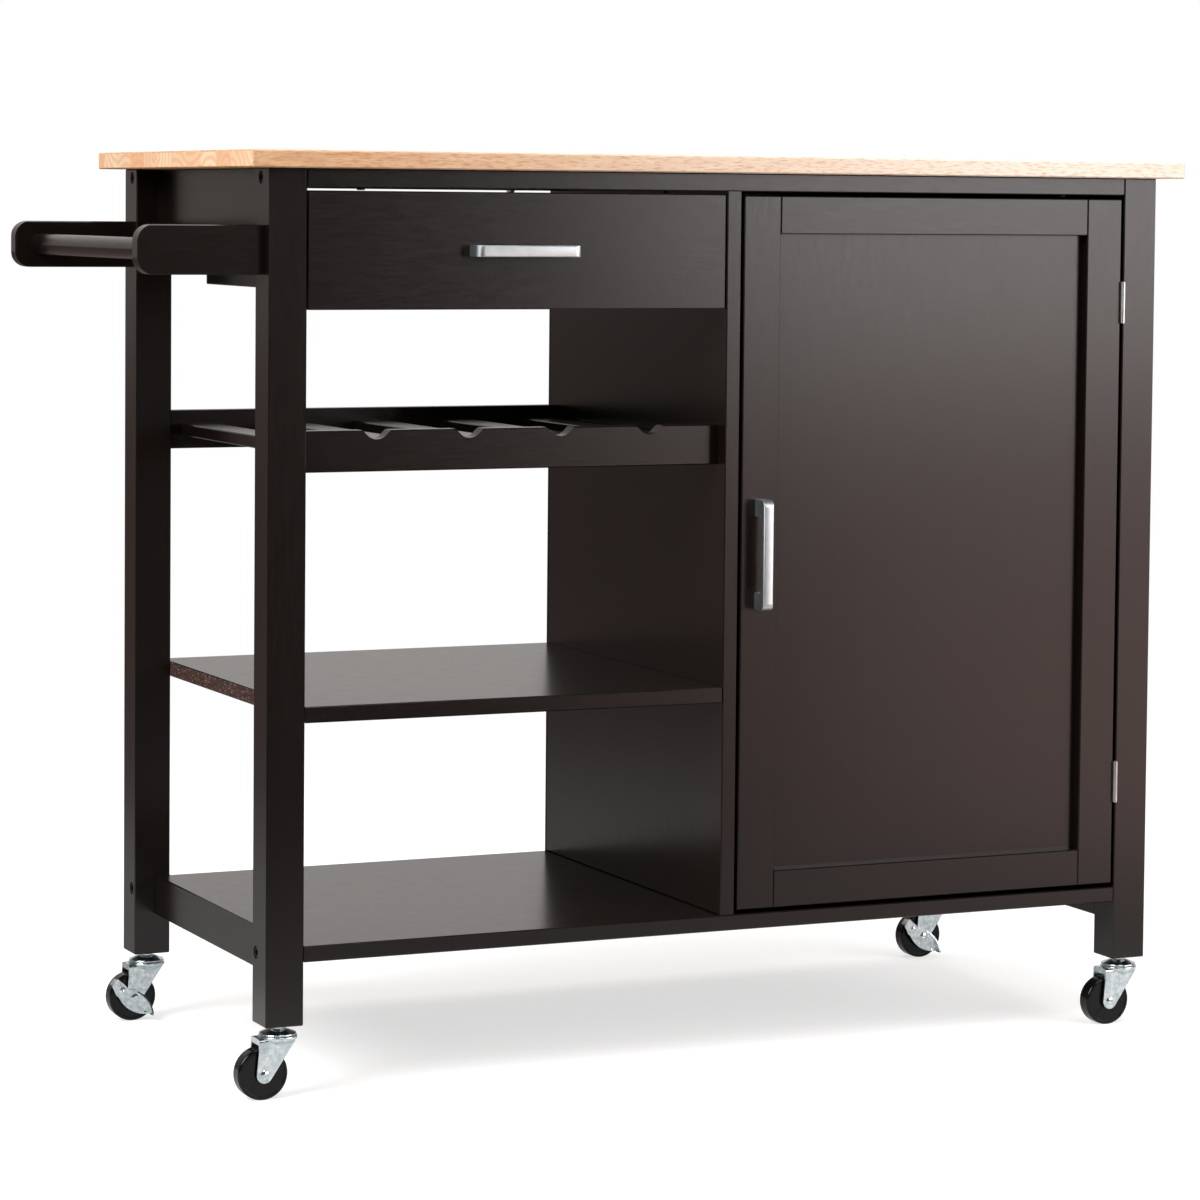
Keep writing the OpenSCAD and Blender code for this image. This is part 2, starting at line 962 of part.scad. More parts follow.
// Channel of sheet steel along +Y: web on the plane x = 0, flanges to x = w, z = -h/2 .. h/2
module channel(w, h, l) {
    difference() {
        translate([0, 0, -h / 2])
            cube([w, l, h]);
        translate([runner_sheet, -over, -h / 2 + runner_sheet])
            cube([w, l + 2 * over, h - 2 * runner_sheet]);
    }
}

channel_w = runner_w - runner_sheet - 1.2;
runner_l = drawer_l - 2;

// Mirrors what is drawn at the left runner over to the right one
module at_both_runners() {
    children();
    translate([left_in + divider_x, 0, 0])
        mirror([1, 0, 0])
            children();
}

module runner_channels() {
    color(zinc)
    in_cart()
        at_both_runners()
            translate([left_in, runner_y0, runner_z])
                channel(channel_w, runner_h, runner_l);
}

module runner_slides() {
    color(zinc)
    in_cart()
        at_both_runners()
            translate([box_x0, runner_y0, runner_z])
                mirror([1, 0, 0])
                    channel(channel_w, runner_inner_h, runner_l);
}

// Ball cage: a strip above and one below the inner channel, joined by a plate behind it
module cage() {
    ball_z = runner_inner_h / 2 + runner_play + runner_ball / 2;
    strip_t = 1;
    plate_x0 = runner_sheet + run;
    plate_x1 = runner_w - channel_w - run;
    strip_x1 = channel_w - 0.4;
    ball_x = (plate_x1 + strip_x1) / 2;
    ball_n = floor(cage_l / 15);
    for (side = [-1, 1]) {
        translate([plate_x0, 0, side * ball_z - strip_t / 2])
            cube([strip_x1 - plate_x0, cage_l, strip_t]);
        for (i = [0 : ball_n - 1])
            translate([ball_x, cage_l * (i + 0.5) / ball_n, side * ball_z])
                sphere(d = runner_ball);
    }
    translate([plate_x0, 0, -ball_z])
        cube([plate_x1 - plate_x0, cage_l, 2 * ball_z]);
}

module runner_cages() {
    color(steel)
    in_cart()
        at_both_runners()
            translate([left_in, cage_y0, runner_z])
                cage();
}

// ---------------------------------------------------------------- door

// Stile with its outer edge at x = 0, grooved along its inner edge
module stile_shape() {
    difference() {
        board([stile_w, door_t, door_h]);
        translate([stile_w - groove_d, panel_recess - groove_play, -over])
            cube([groove_d + over, panel_t + 2 * groove_play, door_h + 2 * over]);
    }
}

module door_stile_left() {
    color(espresso)
    in_cart()
        difference() {
            translate([door_x0, 0, door_z0])
                stile_shape();
            at_door_pull()
                for (side = [-1, 1])
                    translate([side * pull_centres / 2, -over, 0])
                        y_rod(pull_screw_d + 2 * fit, door_t + 2 * over);
        }
}

module door_stile_right() {
    color(espresso)
    in_cart()
        translate([door_x1, 0, door_z0])
            mirror([1, 0, 0])
                stile_shape();
}

// Rail with its outer edge at z = 0, stub tenons in the stiles' grooves, grooved inside
module door_rail_shape() {
    l = door_l - 2 * stile_w;
    difference() {
        union() {
            board([l, door_t, door_rail_w]);
            translate([groove_play - groove_d, panel_recess, ease])
                cube([l + 2 * (groove_d - groove_play), panel_t, door_rail_w - groove_d - ease]);
        }
        translate([-over, panel_recess - groove_play, door_rail_w - groove_d])
            cube([l + 2 * over, panel_t + 2 * groove_play, groove_d + over]);
    }
}

module door_rail_bottom() {
    color(espresso)
    in_cart()
        translate([door_x0 + stile_w, 0, door_z0])
            door_rail_shape();
}

module door_rail_top() {
    color(espresso)
    in_cart()
        translate([door_x0 + stile_w, 0, door_z1])
            mirror([0, 0, 1])
                door_rail_shape();
}

module door_panel() {
    reach = groove_d - 0.5;
    color(espresso)
    in_cart()
        translate([door_x0 + stile_w - reach, panel_recess, door_z0 + door_rail_w - reach])
            cube([
                door_l - 2 * stile_w + 2 * reach,
                panel_t,
                door_h - 2 * door_rail_w + 2 * reach
            ]);
}

// Half of a butt hinge: leaf on the +X side of the pin, with every second knuckle from first on
module hinge_leaf(first) {
    leaf_x = door_gap / 2 - hinge_leaf_t;
    difference() {
        union() {
            translate([leaf_x, hinge_leaf_from, 0])
                cube([hinge_leaf_t, hinge_leaf_d, hinge_h]);
            for (i = [first : 2 : knuckle_n - 1])
                translate([0, 0, i * knuckle_h + slide_fit]) {
                    cylinder(r = hinge_r, h = knuckle_h - 2 * slide_fit);
                    translate([leaf_x, 0, 0])
                        cube([hinge_leaf_t, hinge_leaf_from + 0.01, knuckle_h - 2 * slide_fit]);
                }
        }
        translate([0, 0, -over])
            cylinder(r = hinge_pin_r + fit, h = hinge_h + 2 * over);
        for (z = [0.2, 0.8])
            translate([leaf_x - over, hinge_leaf_from + hinge_leaf_d * 0.6, z * hinge_h])
                x_rod(3.2, hinge_leaf_t + 2 * over);
    }
}

module at_each_hinge() {
    for (z = hinge_zs)
        translate([hinge_x, hinge_y, z - hinge_h / 2])
            children();
}

module hinge_frame_leaves() {
    color(steel)
    in_cart()
        at_each_hinge() {
            hinge_leaf(0);
            cylinder(r = hinge_pin_r, h = hinge_h);
            for (z = [-0.6, hinge_h])
                translate([0, 0, z])
                    cylinder(r = hinge_pin_r + 0.7, h = 0.6);
        }
}

module hinge_door_leaves() {
    color(steel)
    in_cart()
        at_each_hinge()
            mirror([1, 0, 0])
                hinge_leaf(1);
}

// ---------------------------------------------------------------- door catch

catch_w = 13;
catch_h = 36;
catch_d = 20;
strike_t = 1.2;
catch_down = 30;
catch_z = door_z1 - door_rail_w - catch_down;

// Magnetic catch: a case with two steel pole strips in front, on a plate with a slot for a
// screw above and below the case
module door_catch() {
    case_h = 19;
    pole_out = 1;
    pole_t = 1.6;
    plate_t = 2.5;
    plate_y = 7;
    slot_d = 3.4;
    slot_y = [plate_y + 5, catch_d - 4.5];
    color(catch_white)
    in_cart()
        translate([divider_right, door_t + strike_t + run, catch_z])
            difference() {
                union() {
                    translate([0, pole_out, -case_h / 2])
                        board([catch_w, catch_d - pole_out, case_h]);
                    translate([0, plate_y, -catch_h / 2])
                        board([plate_t, catch_d - plate_y, catch_h], plate_t / 4);
                    for (x = [catch_w * 0.2, catch_w * 0.8 - pole_t])
                        translate([x, 0, -case_h / 2 + 2])
                            cube([pole_t, catch_d / 2, case_h - 4]);
                }
                for (side = [-1, 1])
                    translate([-over, 0, side * (catch_h + case_h) / 4]) {
                        for (y = slot_y)
                            translate([0, y, 0])
                                x_rod(slot_d, plate_t + 2 * over);
                        translate([0, slot_y[0], -slot_d / 2])
                            cube([plate_t + 2 * over, slot_y[1] - slot_y[0], slot_d]);
                    }
            }
}

module catch_strike() {
    color(steel)
    in_cart()
        translate([door_x0 + 1, door_t, catch_z - catch_h / 3])
            cube([catch_w - 3, strike_t, catch_h * 2 / 3]);
}

// ---------------------------------------------------------------- casters

// Kingpin, domed swivel plate with its rolled rim, collar and stem, turned round the swivel axis
// with the floor at z = 0
module caster_stem() {
    rim_r = 1.1;
    rim_x = swivel_r - 1.9;
    collar_r = stem_d / 2 + 2.4;
    rotate_extrude() {
        polygon([
            [0, crown_z - 2.5],
            [kingpin_r + 2.2, crown_z - 2.5],
            [kingpin_r + 2.2, crown_z - slide_fit],
            [kingpin_r, crown_z - slide_fit],
            [kingpin_r, plate_z + 0.4],
            [kingpin_r + 3, plate_z + 0.4],
            [rim_x - 3, plate_z],
            [rim_x, plate_z],
            [rim_x, plate_z + 2 * rim_r],
            [rim_x - 3, plate_z + 3.4],
            [rim_x - 7, plate_z + 4.9],
            [stem_d / 2 + 0.4, plate_z + 5.7],
            [stem_d / 2 + 0.4, caster_h - 2.6],
            [collar_r, caster_h - 0.9],
            [collar_r, caster_h],
            [stem_d / 2, caster_h],
            [stem_d / 2, caster_h + stem_l - 1],
            [stem_d / 2 - 1, caster_h + stem_l],
            [0, caster_h + stem_l]
        ]);
        translate([rim_x, plate_z + rim_r])
            circle(r = rim_r);
    }
}

module caster_stems() {
    color(zinc)
    in_cart()
        for (c = casters)
            translate([c.x, c.y, 0])
                caster_stem();
}

// Side of the fork in x and z: web on top, rear edge, round end at the axle and slanted front edge
module fork_side() {
    axle = [-caster_trail, wheel_r];
    rear = [-fork_rear, crown_z - 2.5];
    front = [swivel_r - 5, crown_z - 0.5];
    translate(axle)
        circle(r = cheek_r);
    polygon([
        [-fork_rear, crown_top],
        rear,
        touch(axle, cheek_r, rear, 1),
        axle,
        touch(axle, cheek_r, front, -1),
        front,
        [front.x, crown_top]
    ]);
}

// Arch with round shoulders in y and z, open below
module arch(half_w, top, bend) {
    translate([-half_w, 0])
        square([2 * half_w, top - bend]);
    translate([bend - half_w, 0])
        square([2 * (half_w - bend), top]);
    for (side = [-1, 1])
        translate([side * (half_w - bend), top - bend])
            circle(r = bend);
}

// Web and cheeks as one bent sheet
module fork_sheet() {
    intersection() {
        translate([0, fork_y, 0])
            rotate([90, 0, 0])
                linear_extrude(2 * fork_y)
                    fork_side();
        translate([-2 * fork_rear, 0, 0])
            rotate([90, 0, 90])
                linear_extrude(4 * fork_rear)
                    difference() {
                        arch(fork_y, crown_top, fork_bend);
                        arch(cheek_y, crown_z, fork_bend - fork_t);
                    }
    }
}

// Rear edge of the web, bent down between the cheeks
module fork_flange() {
    drop = 5.5;
    intersection() {
        translate([-fork_rear, fork_y, 0])
            rotate([90, 0, 0])
                linear_extrude(2 * fork_y) {
                    translate([crown_t, crown_top - crown_t])
                        circle(r = crown_t);
                    translate([0, crown_top - drop])
                        square([fork_t, drop - crown_t]);
                }
        translate([-2 * fork_rear, 0, 0])
            rotate([90, 0, 90])
                linear_extrude(2 * fork_rear)
                    arch(fork_y, crown_top, fork_bend);
    }
}

// Round cup of the ball race: a floor, a rolled lip, and a skirt that runs down into the cheeks
module fork_cup() {
    lip = 0.9;
    skirt_h = 4.5;
    rotate_extrude() {
        polygon([
            [kingpin_r - 1, crown_z],
            [swivel_r - 1, crown_z],
            [swivel_r, crown_z + 1],
            [swivel_r, plate_z - run - lip],
            [swivel_r - 2 * lip, plate_z - run - lip],
            [swivel_r - 3.4, crown_top],
            [kingpin_r - 1, crown_top]
        ]);
        translate([swivel_r - lip, plate_z - run - lip])
            circle(r = lip);
    }
    intersection() {
        rotate_extrude()
            polygon([
                [swivel_r - 3, crown_z + 0.5],
                [swivel_r - 0.6, crown_z + 0.5],
                [fork_y, crown_z - skirt_h],
                [cheek_y, crown_z - skirt_h]
            ]);
        for (y = [cheek_y, -2 * swivel_r])
            translate([-swivel_r, y, 0])
                cube([2 * swivel_r, 2 * swivel_r - cheek_y, caster_h]);
    }
}

// Pressed swivel fork, bored for kingpin and axle
module fork() {
    difference() {
        union() {
            fork_sheet();
            fork_flange();
            fork_cup();
        }
        translate([0, 0, crown_z - over])
            cylinder(r = kingpin_r + slide_fit, h = crown_t + 2 * over);
        translate([-caster_trail, -fork_y - over, wheel_r])
            y_rod(axle_d + 2 * fit, 2 * (fork_y + over));
    }
}

module at_caster(c) {
    color(zinc)
    in_cart()
        translate([c.x, c.y, 0])
            children();
}

// Domed head of height t and radius r on the plane y = 0, towards -Y
module domed_head(r, t) {
    ball_r = (r * r + t * t) / (2 * t);
    intersection() {
        translate([0, ball_r - t, 0])
            sphere(r = ball_r);
        translate([-r, -2 * t, -r])
            cube([2 * r, 2 * t, 2 * r]);
    }
}

// Axle rivet through both cheeks, its head at the front marked by a three-cornered punch
module axle(extra) {
    head_y = fork_y + extra;
    punch_r = 2.2;
    translate([-caster_trail, 0, wheel_r]) {
        translate([0, -head_y - 0.5, 0])
            y_rod(axle_d, head_y + fork_y + 1);
        difference() {
            translate([0, -head_y, 0])
                domed_head(axle_head_r, axle_head_t);
            translate([0, -head_y - 2 * axle_head_t, 0])
                rotate([-90, -90, 0])
                    cylinder(r = punch_r, h = axle_head_t + 0.7, $fn = 3);
        }
        translate([0, fork_y, 0])
            mirror([0, 1, 0])
                domed_head(axle_head_r, axle_head_t);
    }
}

// Half of the wheel's section: round-shouldered tread, ring groove, shallow disc and hub
module wheel_section() {
    half = wheel_w / 2;
    shoulder = 2.4;
    hub_r = axle_d / 2 + 4;
    hub_out = 1;
    bore_r = axle_d / 2 + slide_fit;
    groove_x = wheel_r - 3.6;
    groove_r = 0.6;
    disc_in = 0.5;
    difference() {
        union() {
            translate([bore_r, -half])
                square([wheel_r - shoulder - bore_r, 2 * half]);
            translate([bore_r, shoulder - half])
                square([wheel_r - bore_r, 2 * (half - shoulder)]);
            translate([bore_r, -half - hub_out])
                square([hub_r - bore_r, 2 * (half + hub_out)]);
            for (side = [-1, 1])
                translate([wheel_r - shoulder, side * (half - shoulder)])
                    circle(r = shoulder);
        }
        for (side = [-1, 1]) {
            translate([groove_x, side * half])
                circle(r = groove_r);
            translate([hub_r, side * (half + over / 2) - (disc_in + over / 2)])
                square([groove_x - hub_r, 2 * disc_in + over]);
        }
    }
}

// Hard moulded wheel round the axle, with three fine ribs on each side of its disc
module wheel() {
    half = wheel_w / 2;
    rib_in = axle_d / 2 + 3.5;
    rib_l = wheel_r - 4 - rib_in;
    rib_w = 0.8;
    rib_h = 0.5;
    translate([-caster_trail, 0, wheel_r])
        rotate([90, 0, 0]) {
            rotate_extrude()
                wheel_section();
            for (turn = [105 : 120 : 345], side = [-1, 1])
                rotate([0, 0, turn])
                    translate([rib_in, -rib_w / 2, side * (half - rib_h) - rib_h / 2])
                        cube([rib_l, rib_w, rib_h]);
        }
}

// Side brake in x and z round the axle: a leaf between two arcs, with a head at its upper end
leaf_low = [12.7, 15.4];
leaf_low_r = 32.3;
leaf_high = [-8.5, -17.1];
leaf_high_r = 26.3;
shoe_r = wheel_r + 1.1;

module brake_outline() {
    intersection() {
        translate(leaf_low)
            circle(r = leaf_low_r);
        translate(leaf_high)
            circle(r = leaf_high_r);
    }
    intersection() {
        circle(r = shoe_r + brake_t);
        polygon([[-23.5, 13.8], [-25.4, 26.6], [-10, 13.4], [-4.5, 7], [-8, -6], [-19.4, 4]]);
    }
}

// Lip along the leaf's upper edge, bent outwards and higher towards its lower end, the pedal
module brake_lip() {
    pedal_out = 8.5;
    intersection() {
        linear_extrude(pedal_out)
            intersection() {
                translate(leaf_high)
                    difference() {
                        circle(r = leaf_high_r);
                        circle(r = leaf_high_r - brake_t);
                    }
                polygon([leaf_high, [8, 16], [40, 16], [40, -18.6]]);
            }
        translate([3, 8, 0])
            rotate([90, 0, -58])
                translate([0, 0, -leaf_high_r / 2])
                    linear_extrude(leaf_high_r)
                        polygon([[-4, 0], [40, 0], [40, brake_t + 10], [0, brake_t], [-4, brake_t]]);
    }
}

// Pressed brake lever that turns on the axle outside the front cheek; a shoe bent inwards
// lies over the tread, and a rivet and a dimple stiffen the leaf
module brake() {
    shoe_l = 8;
    rivet_at = [-12.6, 8.6];
    rivet_r = 3.2;
    dimple_at = [10.5, -13.6];
    translate([-caster_trail, -fork_y - run, wheel_r])
        difference() {
            union() {
                rotate([90, 0, 0]) {
                    linear_extrude(brake_t)
                        brake_outline();
                    brake_lip();
                    translate([0, 0, -shoe_l])
                        linear_extrude(shoe_l + brake_t)
                            intersection() {
                                difference() {
                                    circle(r = shoe_r + brake_t);
                                    circle(r = shoe_r);
                                }
                                polygon([[0, 0], [-29, 17.2], [-25.4, 26.6]]);
                            }
                }
                translate([rivet_at.x, -brake_t, rivet_at.y])
                    domed_head(rivet_r, 1.1);
            }
            translate([0, -2 * brake_t, 0])
                y_rod(axle_d + 2 * slide_fit, 4 * brake_t);
            translate([rivet_at.x, -brake_t - 1.6, rivet_at.y])
                sphere(r = 1.3);
            translate([dimple_at.x, -brake_t - 2.4, dimple_at.y])
                sphere(r = 3);
        }
}

brake_room = run + brake_t + slide_fit;

module fork_front_left() { at_caster(caster_fl) fork(); }
module fork_back_left() { at_caster(caster_bl) fork(); }
module fork_front_right() { at_caster(caster_fr) fork(); }
module fork_back_right() { at_caster(caster_br) fork(); }

module axle_front_left() { at_caster(caster_fl) axle(0); }
module axle_back_left() { at_caster(caster_bl) axle(brake_room); }
module axle_front_right() { at_caster(caster_fr) axle(0); }
module axle_back_right() { at_caster(caster_br) axle(brake_room); }

module wheel_front_left() { at_caster(caster_fl) color(wheel_black) wheel(); }
module wheel_back_left() { at_caster(caster_bl) color(wheel_black) wheel(); }
module wheel_front_right() { at_caster(caster_fr) color(wheel_black) wheel(); }
module wheel_back_right() { at_caster(caster_br) color(wheel_black) wheel(); }

module brake_back_left() { at_caster(caster_bl) brake(); }
module brake_back_right() { at_caster(caster_br) brake(); }

tabletop();
leg_front_left();
leg_back_left();
leg_front_right();
leg_back_right();
top_rail_front();
top_rail_back();
apron_left();
side_rail_left();
side_panel_right();
divider_panel();
bottom_shelf();
middle_shelf();
cabinet_shelf();
cabinet_back();
shelf_pins();
rack_rail_front();
rack_rail_back();
rack_slats();
towel_arm_front();
towel_arm_back();
towel_bar();
frame_bolts();
barrel_nuts();
top_screws();
door_catch();
hinge_frame_leaves();
runner_channels();
caster_stems();
drawer_front();
drawer_sides();
drawer_back();
drawer_bottom();
drawer_pull();
drawer_pull_screws();
runner_slides();
runner_cages();
door_stile_left();
door_stile_right();
door_rail_top();
door_rail_bottom();
door_panel();
door_pull();
door_pull_screws();
hinge_door_leaves();
catch_strike();
fork_front_left();
fork_back_left();
fork_front_right();
fork_back_right();
axle_front_left();
axle_back_left();
axle_front_right();
axle_back_right();
wheel_front_left();
wheel_back_left();
wheel_front_right();
wheel_back_right();
brake_back_left();
brake_back_right();
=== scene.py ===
"""Looks of a kitchen island cart: its finishes, small parts and a pale studio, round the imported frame."""

import json
import math

import bmesh
import bpy
from mathutils import Matrix, Vector

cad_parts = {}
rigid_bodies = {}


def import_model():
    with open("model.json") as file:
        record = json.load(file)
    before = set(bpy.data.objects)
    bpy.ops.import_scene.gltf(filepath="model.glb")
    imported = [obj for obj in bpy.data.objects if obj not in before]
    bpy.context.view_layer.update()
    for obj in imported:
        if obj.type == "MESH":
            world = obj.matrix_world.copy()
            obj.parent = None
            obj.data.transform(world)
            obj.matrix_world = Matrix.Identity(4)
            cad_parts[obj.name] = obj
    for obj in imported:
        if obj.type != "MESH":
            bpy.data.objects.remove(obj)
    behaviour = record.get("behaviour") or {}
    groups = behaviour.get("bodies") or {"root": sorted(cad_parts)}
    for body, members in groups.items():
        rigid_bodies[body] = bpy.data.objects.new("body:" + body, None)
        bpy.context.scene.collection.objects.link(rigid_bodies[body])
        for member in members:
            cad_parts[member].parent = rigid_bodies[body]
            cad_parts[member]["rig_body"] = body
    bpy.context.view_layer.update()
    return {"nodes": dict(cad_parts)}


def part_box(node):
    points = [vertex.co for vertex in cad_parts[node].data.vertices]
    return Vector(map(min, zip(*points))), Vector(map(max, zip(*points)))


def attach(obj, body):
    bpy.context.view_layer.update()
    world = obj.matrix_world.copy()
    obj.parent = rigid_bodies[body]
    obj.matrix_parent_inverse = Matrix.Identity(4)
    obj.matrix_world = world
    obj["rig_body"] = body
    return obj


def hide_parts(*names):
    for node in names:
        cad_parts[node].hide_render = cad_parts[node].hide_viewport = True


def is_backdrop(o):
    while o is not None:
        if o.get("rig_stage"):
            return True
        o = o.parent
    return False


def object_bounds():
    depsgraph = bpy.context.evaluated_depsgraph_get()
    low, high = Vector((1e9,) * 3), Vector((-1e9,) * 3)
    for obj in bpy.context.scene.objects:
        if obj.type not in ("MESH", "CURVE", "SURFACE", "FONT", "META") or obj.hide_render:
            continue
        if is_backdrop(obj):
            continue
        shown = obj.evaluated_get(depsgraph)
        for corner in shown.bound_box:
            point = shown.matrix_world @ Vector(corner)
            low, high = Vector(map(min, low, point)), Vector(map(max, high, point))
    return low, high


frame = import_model()

# Camera. The cart is seen from its handle end at about the height of its drawer, almost level, through
# a long lens that keeps its uprights upright.
mm = 0.001
leg_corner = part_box("leg_front_left")[0]
camera_from_corner = Vector((-1218, -3377, 819)) * mm
camera_yaw, camera_pitch, camera_roll = math.radians(24.6), math.radians(3.12), math.radians(0.52)
camera_data = bpy.data.cameras.new("camera")
camera = bpy.data.objects.new("camera", camera_data)
bpy.context.scene.collection.objects.link(camera)
bpy.context.scene.camera = camera
camera_data.lens = 119.5
camera_data.shift_y = -0.15
camera_data.clip_end = 60
camera.matrix_world = (
    Matrix.Translation(Vector((leg_corner.x, leg_corner.y, 0)) + camera_from_corner)
    @ Matrix.Rotation(-camera_yaw, 4, "Z")
    @ Matrix.Rotation(math.pi / 2 - camera_pitch, 4, "X")
    @ Matrix.Rotation(camera_roll, 4, "Z")
)


# Studio. A sheet of white paper under the cart runs into a white backdrop behind it, and the rest of the
# room is dim, so that dark paint keeps its depth and shows the lamps and the backdrop as soft sheens.
def linear(code):
    """An sRGB hex colour as linear RGBA."""
    parts = [int(code[i:i + 2], 16) / 255 for i in (1, 3, 5)]
    return [c / 12.92 if c <= 0.04045 else ((c + 0.055) / 1.055) ** 2.4 for c in parts] + [1]


def set_inputs(tree, node, inputs):
    """Gives inputs of a node their values, or the sockets that they are linked from."""
    for name, value in inputs.items():
        if isinstance(value, bpy.types.NodeSocket):
            tree.links.new(value, node.inputs[name])
        else:
            node.inputs[name].default_value = value


def add(tree, kind, settings=None, inputs=None, stops=()):
    """Adds one shader node with its settings and inputs, and the colours of its ramp if it has one."""
    node = tree.nodes.new("ShaderNode" + kind)
    for name, value in (settings or {}).items():
        setattr(node, name, value)
    set_inputs(tree, node, inputs or {})
    if stops:
        for at, code in stops[2:]:
            node.color_ramp.elements.new(at)
        for element, (at, code) in zip(node.color_ramp.elements, stops):
            element.position = at
            element.color = linear(code)
    return node


smooth = {"interpolation_type": "SMOOTHSTEP"}
paper_middle = (0.35, 0.45, 0)
paper_r, dim_r = 1.1, 2.1
floor_material = bpy.data.materials.new("white_paper_floor")
floor_material.use_nodes = True
tree = floor_material.node_tree
tree.nodes.clear()
place = add(tree, "TexCoord")
at = add(tree, "SeparateXYZ", inputs={0: place.outputs["Object"]})
path = add(tree, "LightPath")
mirrored = add(tree, "Math", {"operation": "MAXIMUM"},
               {0: path.outputs["Is Glossy Ray"], 1: path.outputs["Is Transmission Ray"]})
# The paper's colour is darker in reflections than to the camera: painted shade in what the cart mirrors of
# it.
paper_tone = add(tree, "Mix", {"data_type": "RGBA"},
                 {"Factor": mirrored.outputs[0], "A": linear("#c8c8c8"), "B": linear("#a0a0a0")})
paper = add(tree, "BsdfDiffuse", inputs={"Color": paper_tone.outputs["Result"]})

# The paper glows white to the camera, an even floor. A strip of it glows only in reflections: a painted
# reflection that bright steel near the floor mirrors.
camera_glow, strip_glow = 0.63, 0.4
strip_y, strip_half, strip_fade = -0.15, 0.3, 0.5
from_middle = add(tree, "Math", {"operation": "ADD"}, {0: at.outputs["Y"], 1: -strip_y})
off_strip = add(tree, "Math", {"operation": "ABSOLUTE"}, {0: from_middle.outputs[0]})
strip = add(tree, "MapRange", smooth, {
    "Value": off_strip.outputs[0], "From Min": strip_half, "From Max": strip_fade,
    "To Min": strip_glow, "To Max": 0})
strip_seen = add(tree, "Math", {"operation": "MULTIPLY"}, {0: strip.outputs[0], 1: mirrored.outputs[0]})
near_glow = add(tree, "Math", {"operation": "MULTIPLY_ADD"},
                {0: path.outputs["Is Camera Ray"], 1: camera_glow, 2: strip_seen.outputs[0]})
glow = add(tree, "Emission", inputs={"Strength": near_glow.outputs[0]})
near = add(tree, "AddShader", inputs={0: paper.outputs[0], 1: glow.outputs[0]})

# Beyond the paper the floor glows only in reflections: painted reflections of a pale room, bright at the
# front right, and dimmer at the back.
to_front_right = (0.906, 0.423, 0)
front_glow, back_glow = 1.75, 0.13
across = add(tree, "VectorMath", {"operation": "DOT_PRODUCT"},
             {0: place.outputs["Object"], 1: to_front_right})
to_right = add(tree, "MapRange", smooth, {
    "Value": across.outputs["Value"], "From Min": -0.45, "From Max": 0.7, "To Max": front_glow})
in_front = add(tree, "MapRange", smooth, {
    "Value": at.outputs["Y"], "From Min": -0.7, "From Max": -0.2, "To Min": 1, "To Max": 0})
front_painted_reflections = add(tree, "Math", {"operation": "MULTIPLY"}, {0: to_right.outputs[0], 1: in_front.outputs[0]})
to_back = add(tree, "MapRange", smooth, {
    "Value": at.outputs["Y"], "From Min": 0.7, "From Max": 2.2, "To Max": back_glow})
painted_reflections = add(tree, "Math", {"operation": "MAXIMUM"}, {0: front_painted_reflections.outputs[0], 1: to_back.outputs[0]})
painted_reflections_seen = add(tree, "Math", {"operation": "MULTIPLY"}, {0: painted_reflections.outputs[0], 1: mirrored.outputs[0]})
painted_reflection_glow = add(tree, "Emission", inputs={"Color": linear("#ffd8ce"), "Strength": painted_reflections_seen.outputs[0]})
bare = add(tree, "BsdfDiffuse", inputs={"Color": linear("#404040")})
dim = add(tree, "AddShader", inputs={0: bare.outputs[0], 1: painted_reflection_glow.outputs[0]})
white = add(tree, "Emission", inputs={"Strength": 1.0})
beyond = add(tree, "MixShader", inputs={
    0: path.outputs["Is Camera Ray"], 1: dim.outputs[0], 2: white.outputs[0]})
distance = add(tree, "VectorMath", {"operation": "DISTANCE"}, {0: place.outputs["Object"], 1: paper_middle})
far = add(tree, "MapRange", smooth, {
    "Value": distance.outputs["Value"], "From Min": paper_r, "From Max": dim_r})
sheet = add(tree, "MixShader", inputs={0: far.outputs["Result"], 1: near.outputs[0], 2: beyond.outputs[0]})
add(tree, "OutputMaterial", inputs={"Surface": sheet.outputs[0]})

floor_half = 20
floor_mesh = bmesh.new()
bmesh.ops.create_grid(floor_mesh, x_segments=1, y_segments=1, size=floor_half)
floor_data = bpy.data.meshes.new("floor")
floor_mesh.to_mesh(floor_data)
floor_mesh.free()
floor = bpy.data.objects.new("floor", floor_data)
floor.data.materials.append(floor_material)
bpy.context.scene.collection.objects.link(floor)
floor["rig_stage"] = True

# The room's light: even on dull surfaces, and in a mirror a pale backdrop that fades into a dim room.
room_light, backdrop_glow, room_glow = 0.30, 0.75, 0.06
to_backdrop = (0.42, 0.905, 0.05)
world = bpy.data.worlds.new("studio")
bpy.context.scene.world = world
world.use_nodes = True
tree = world.node_tree
tree.nodes.clear()
place = add(tree, "TexCoord")
towards = add(tree, "VectorMath", {"operation": "DOT_PRODUCT"},
              {0: place.outputs["Generated"], 1: to_backdrop})
backdrop = add(tree, "MapRange", smooth, {
    "Value": towards.outputs["Value"], "From Min": 0.5, "From Max": 0.93,
    "To Min": room_glow, "To Max": backdrop_glow})
path = add(tree, "LightPath")
mirrored = add(tree, "Math", {"operation": "MAXIMUM"},
               {0: path.outputs["Is Glossy Ray"], 1: path.outputs["Is Transmission Ray"]})
room = add(tree, "Mix", {"data_type": "FLOAT"},
           {"Factor": mirrored.outputs[0], "A": room_light, "B": backdrop.outputs["Result"]})
strength = add(tree, "Mix", {"data_type": "FLOAT"},
               {"Factor": path.outputs["Is Camera Ray"], "A": room.outputs[0], "B": 1.0})
tint = add(tree, "Mix", {"data_type": "RGBA"},
           {"Factor": backdrop.outputs["Result"], "A": linear("#e6cfc2"), "B": linear("#ffffff")})
hue = add(tree, "Mix", {"data_type": "RGBA"},
          {"Factor": path.outputs["Is Camera Ray"], "A": tint.outputs["Result"], "B": linear("#ffffff")})
back = add(tree, "Background", inputs={"Color": hue.outputs["Result"], "Strength": strength.outputs[0]})
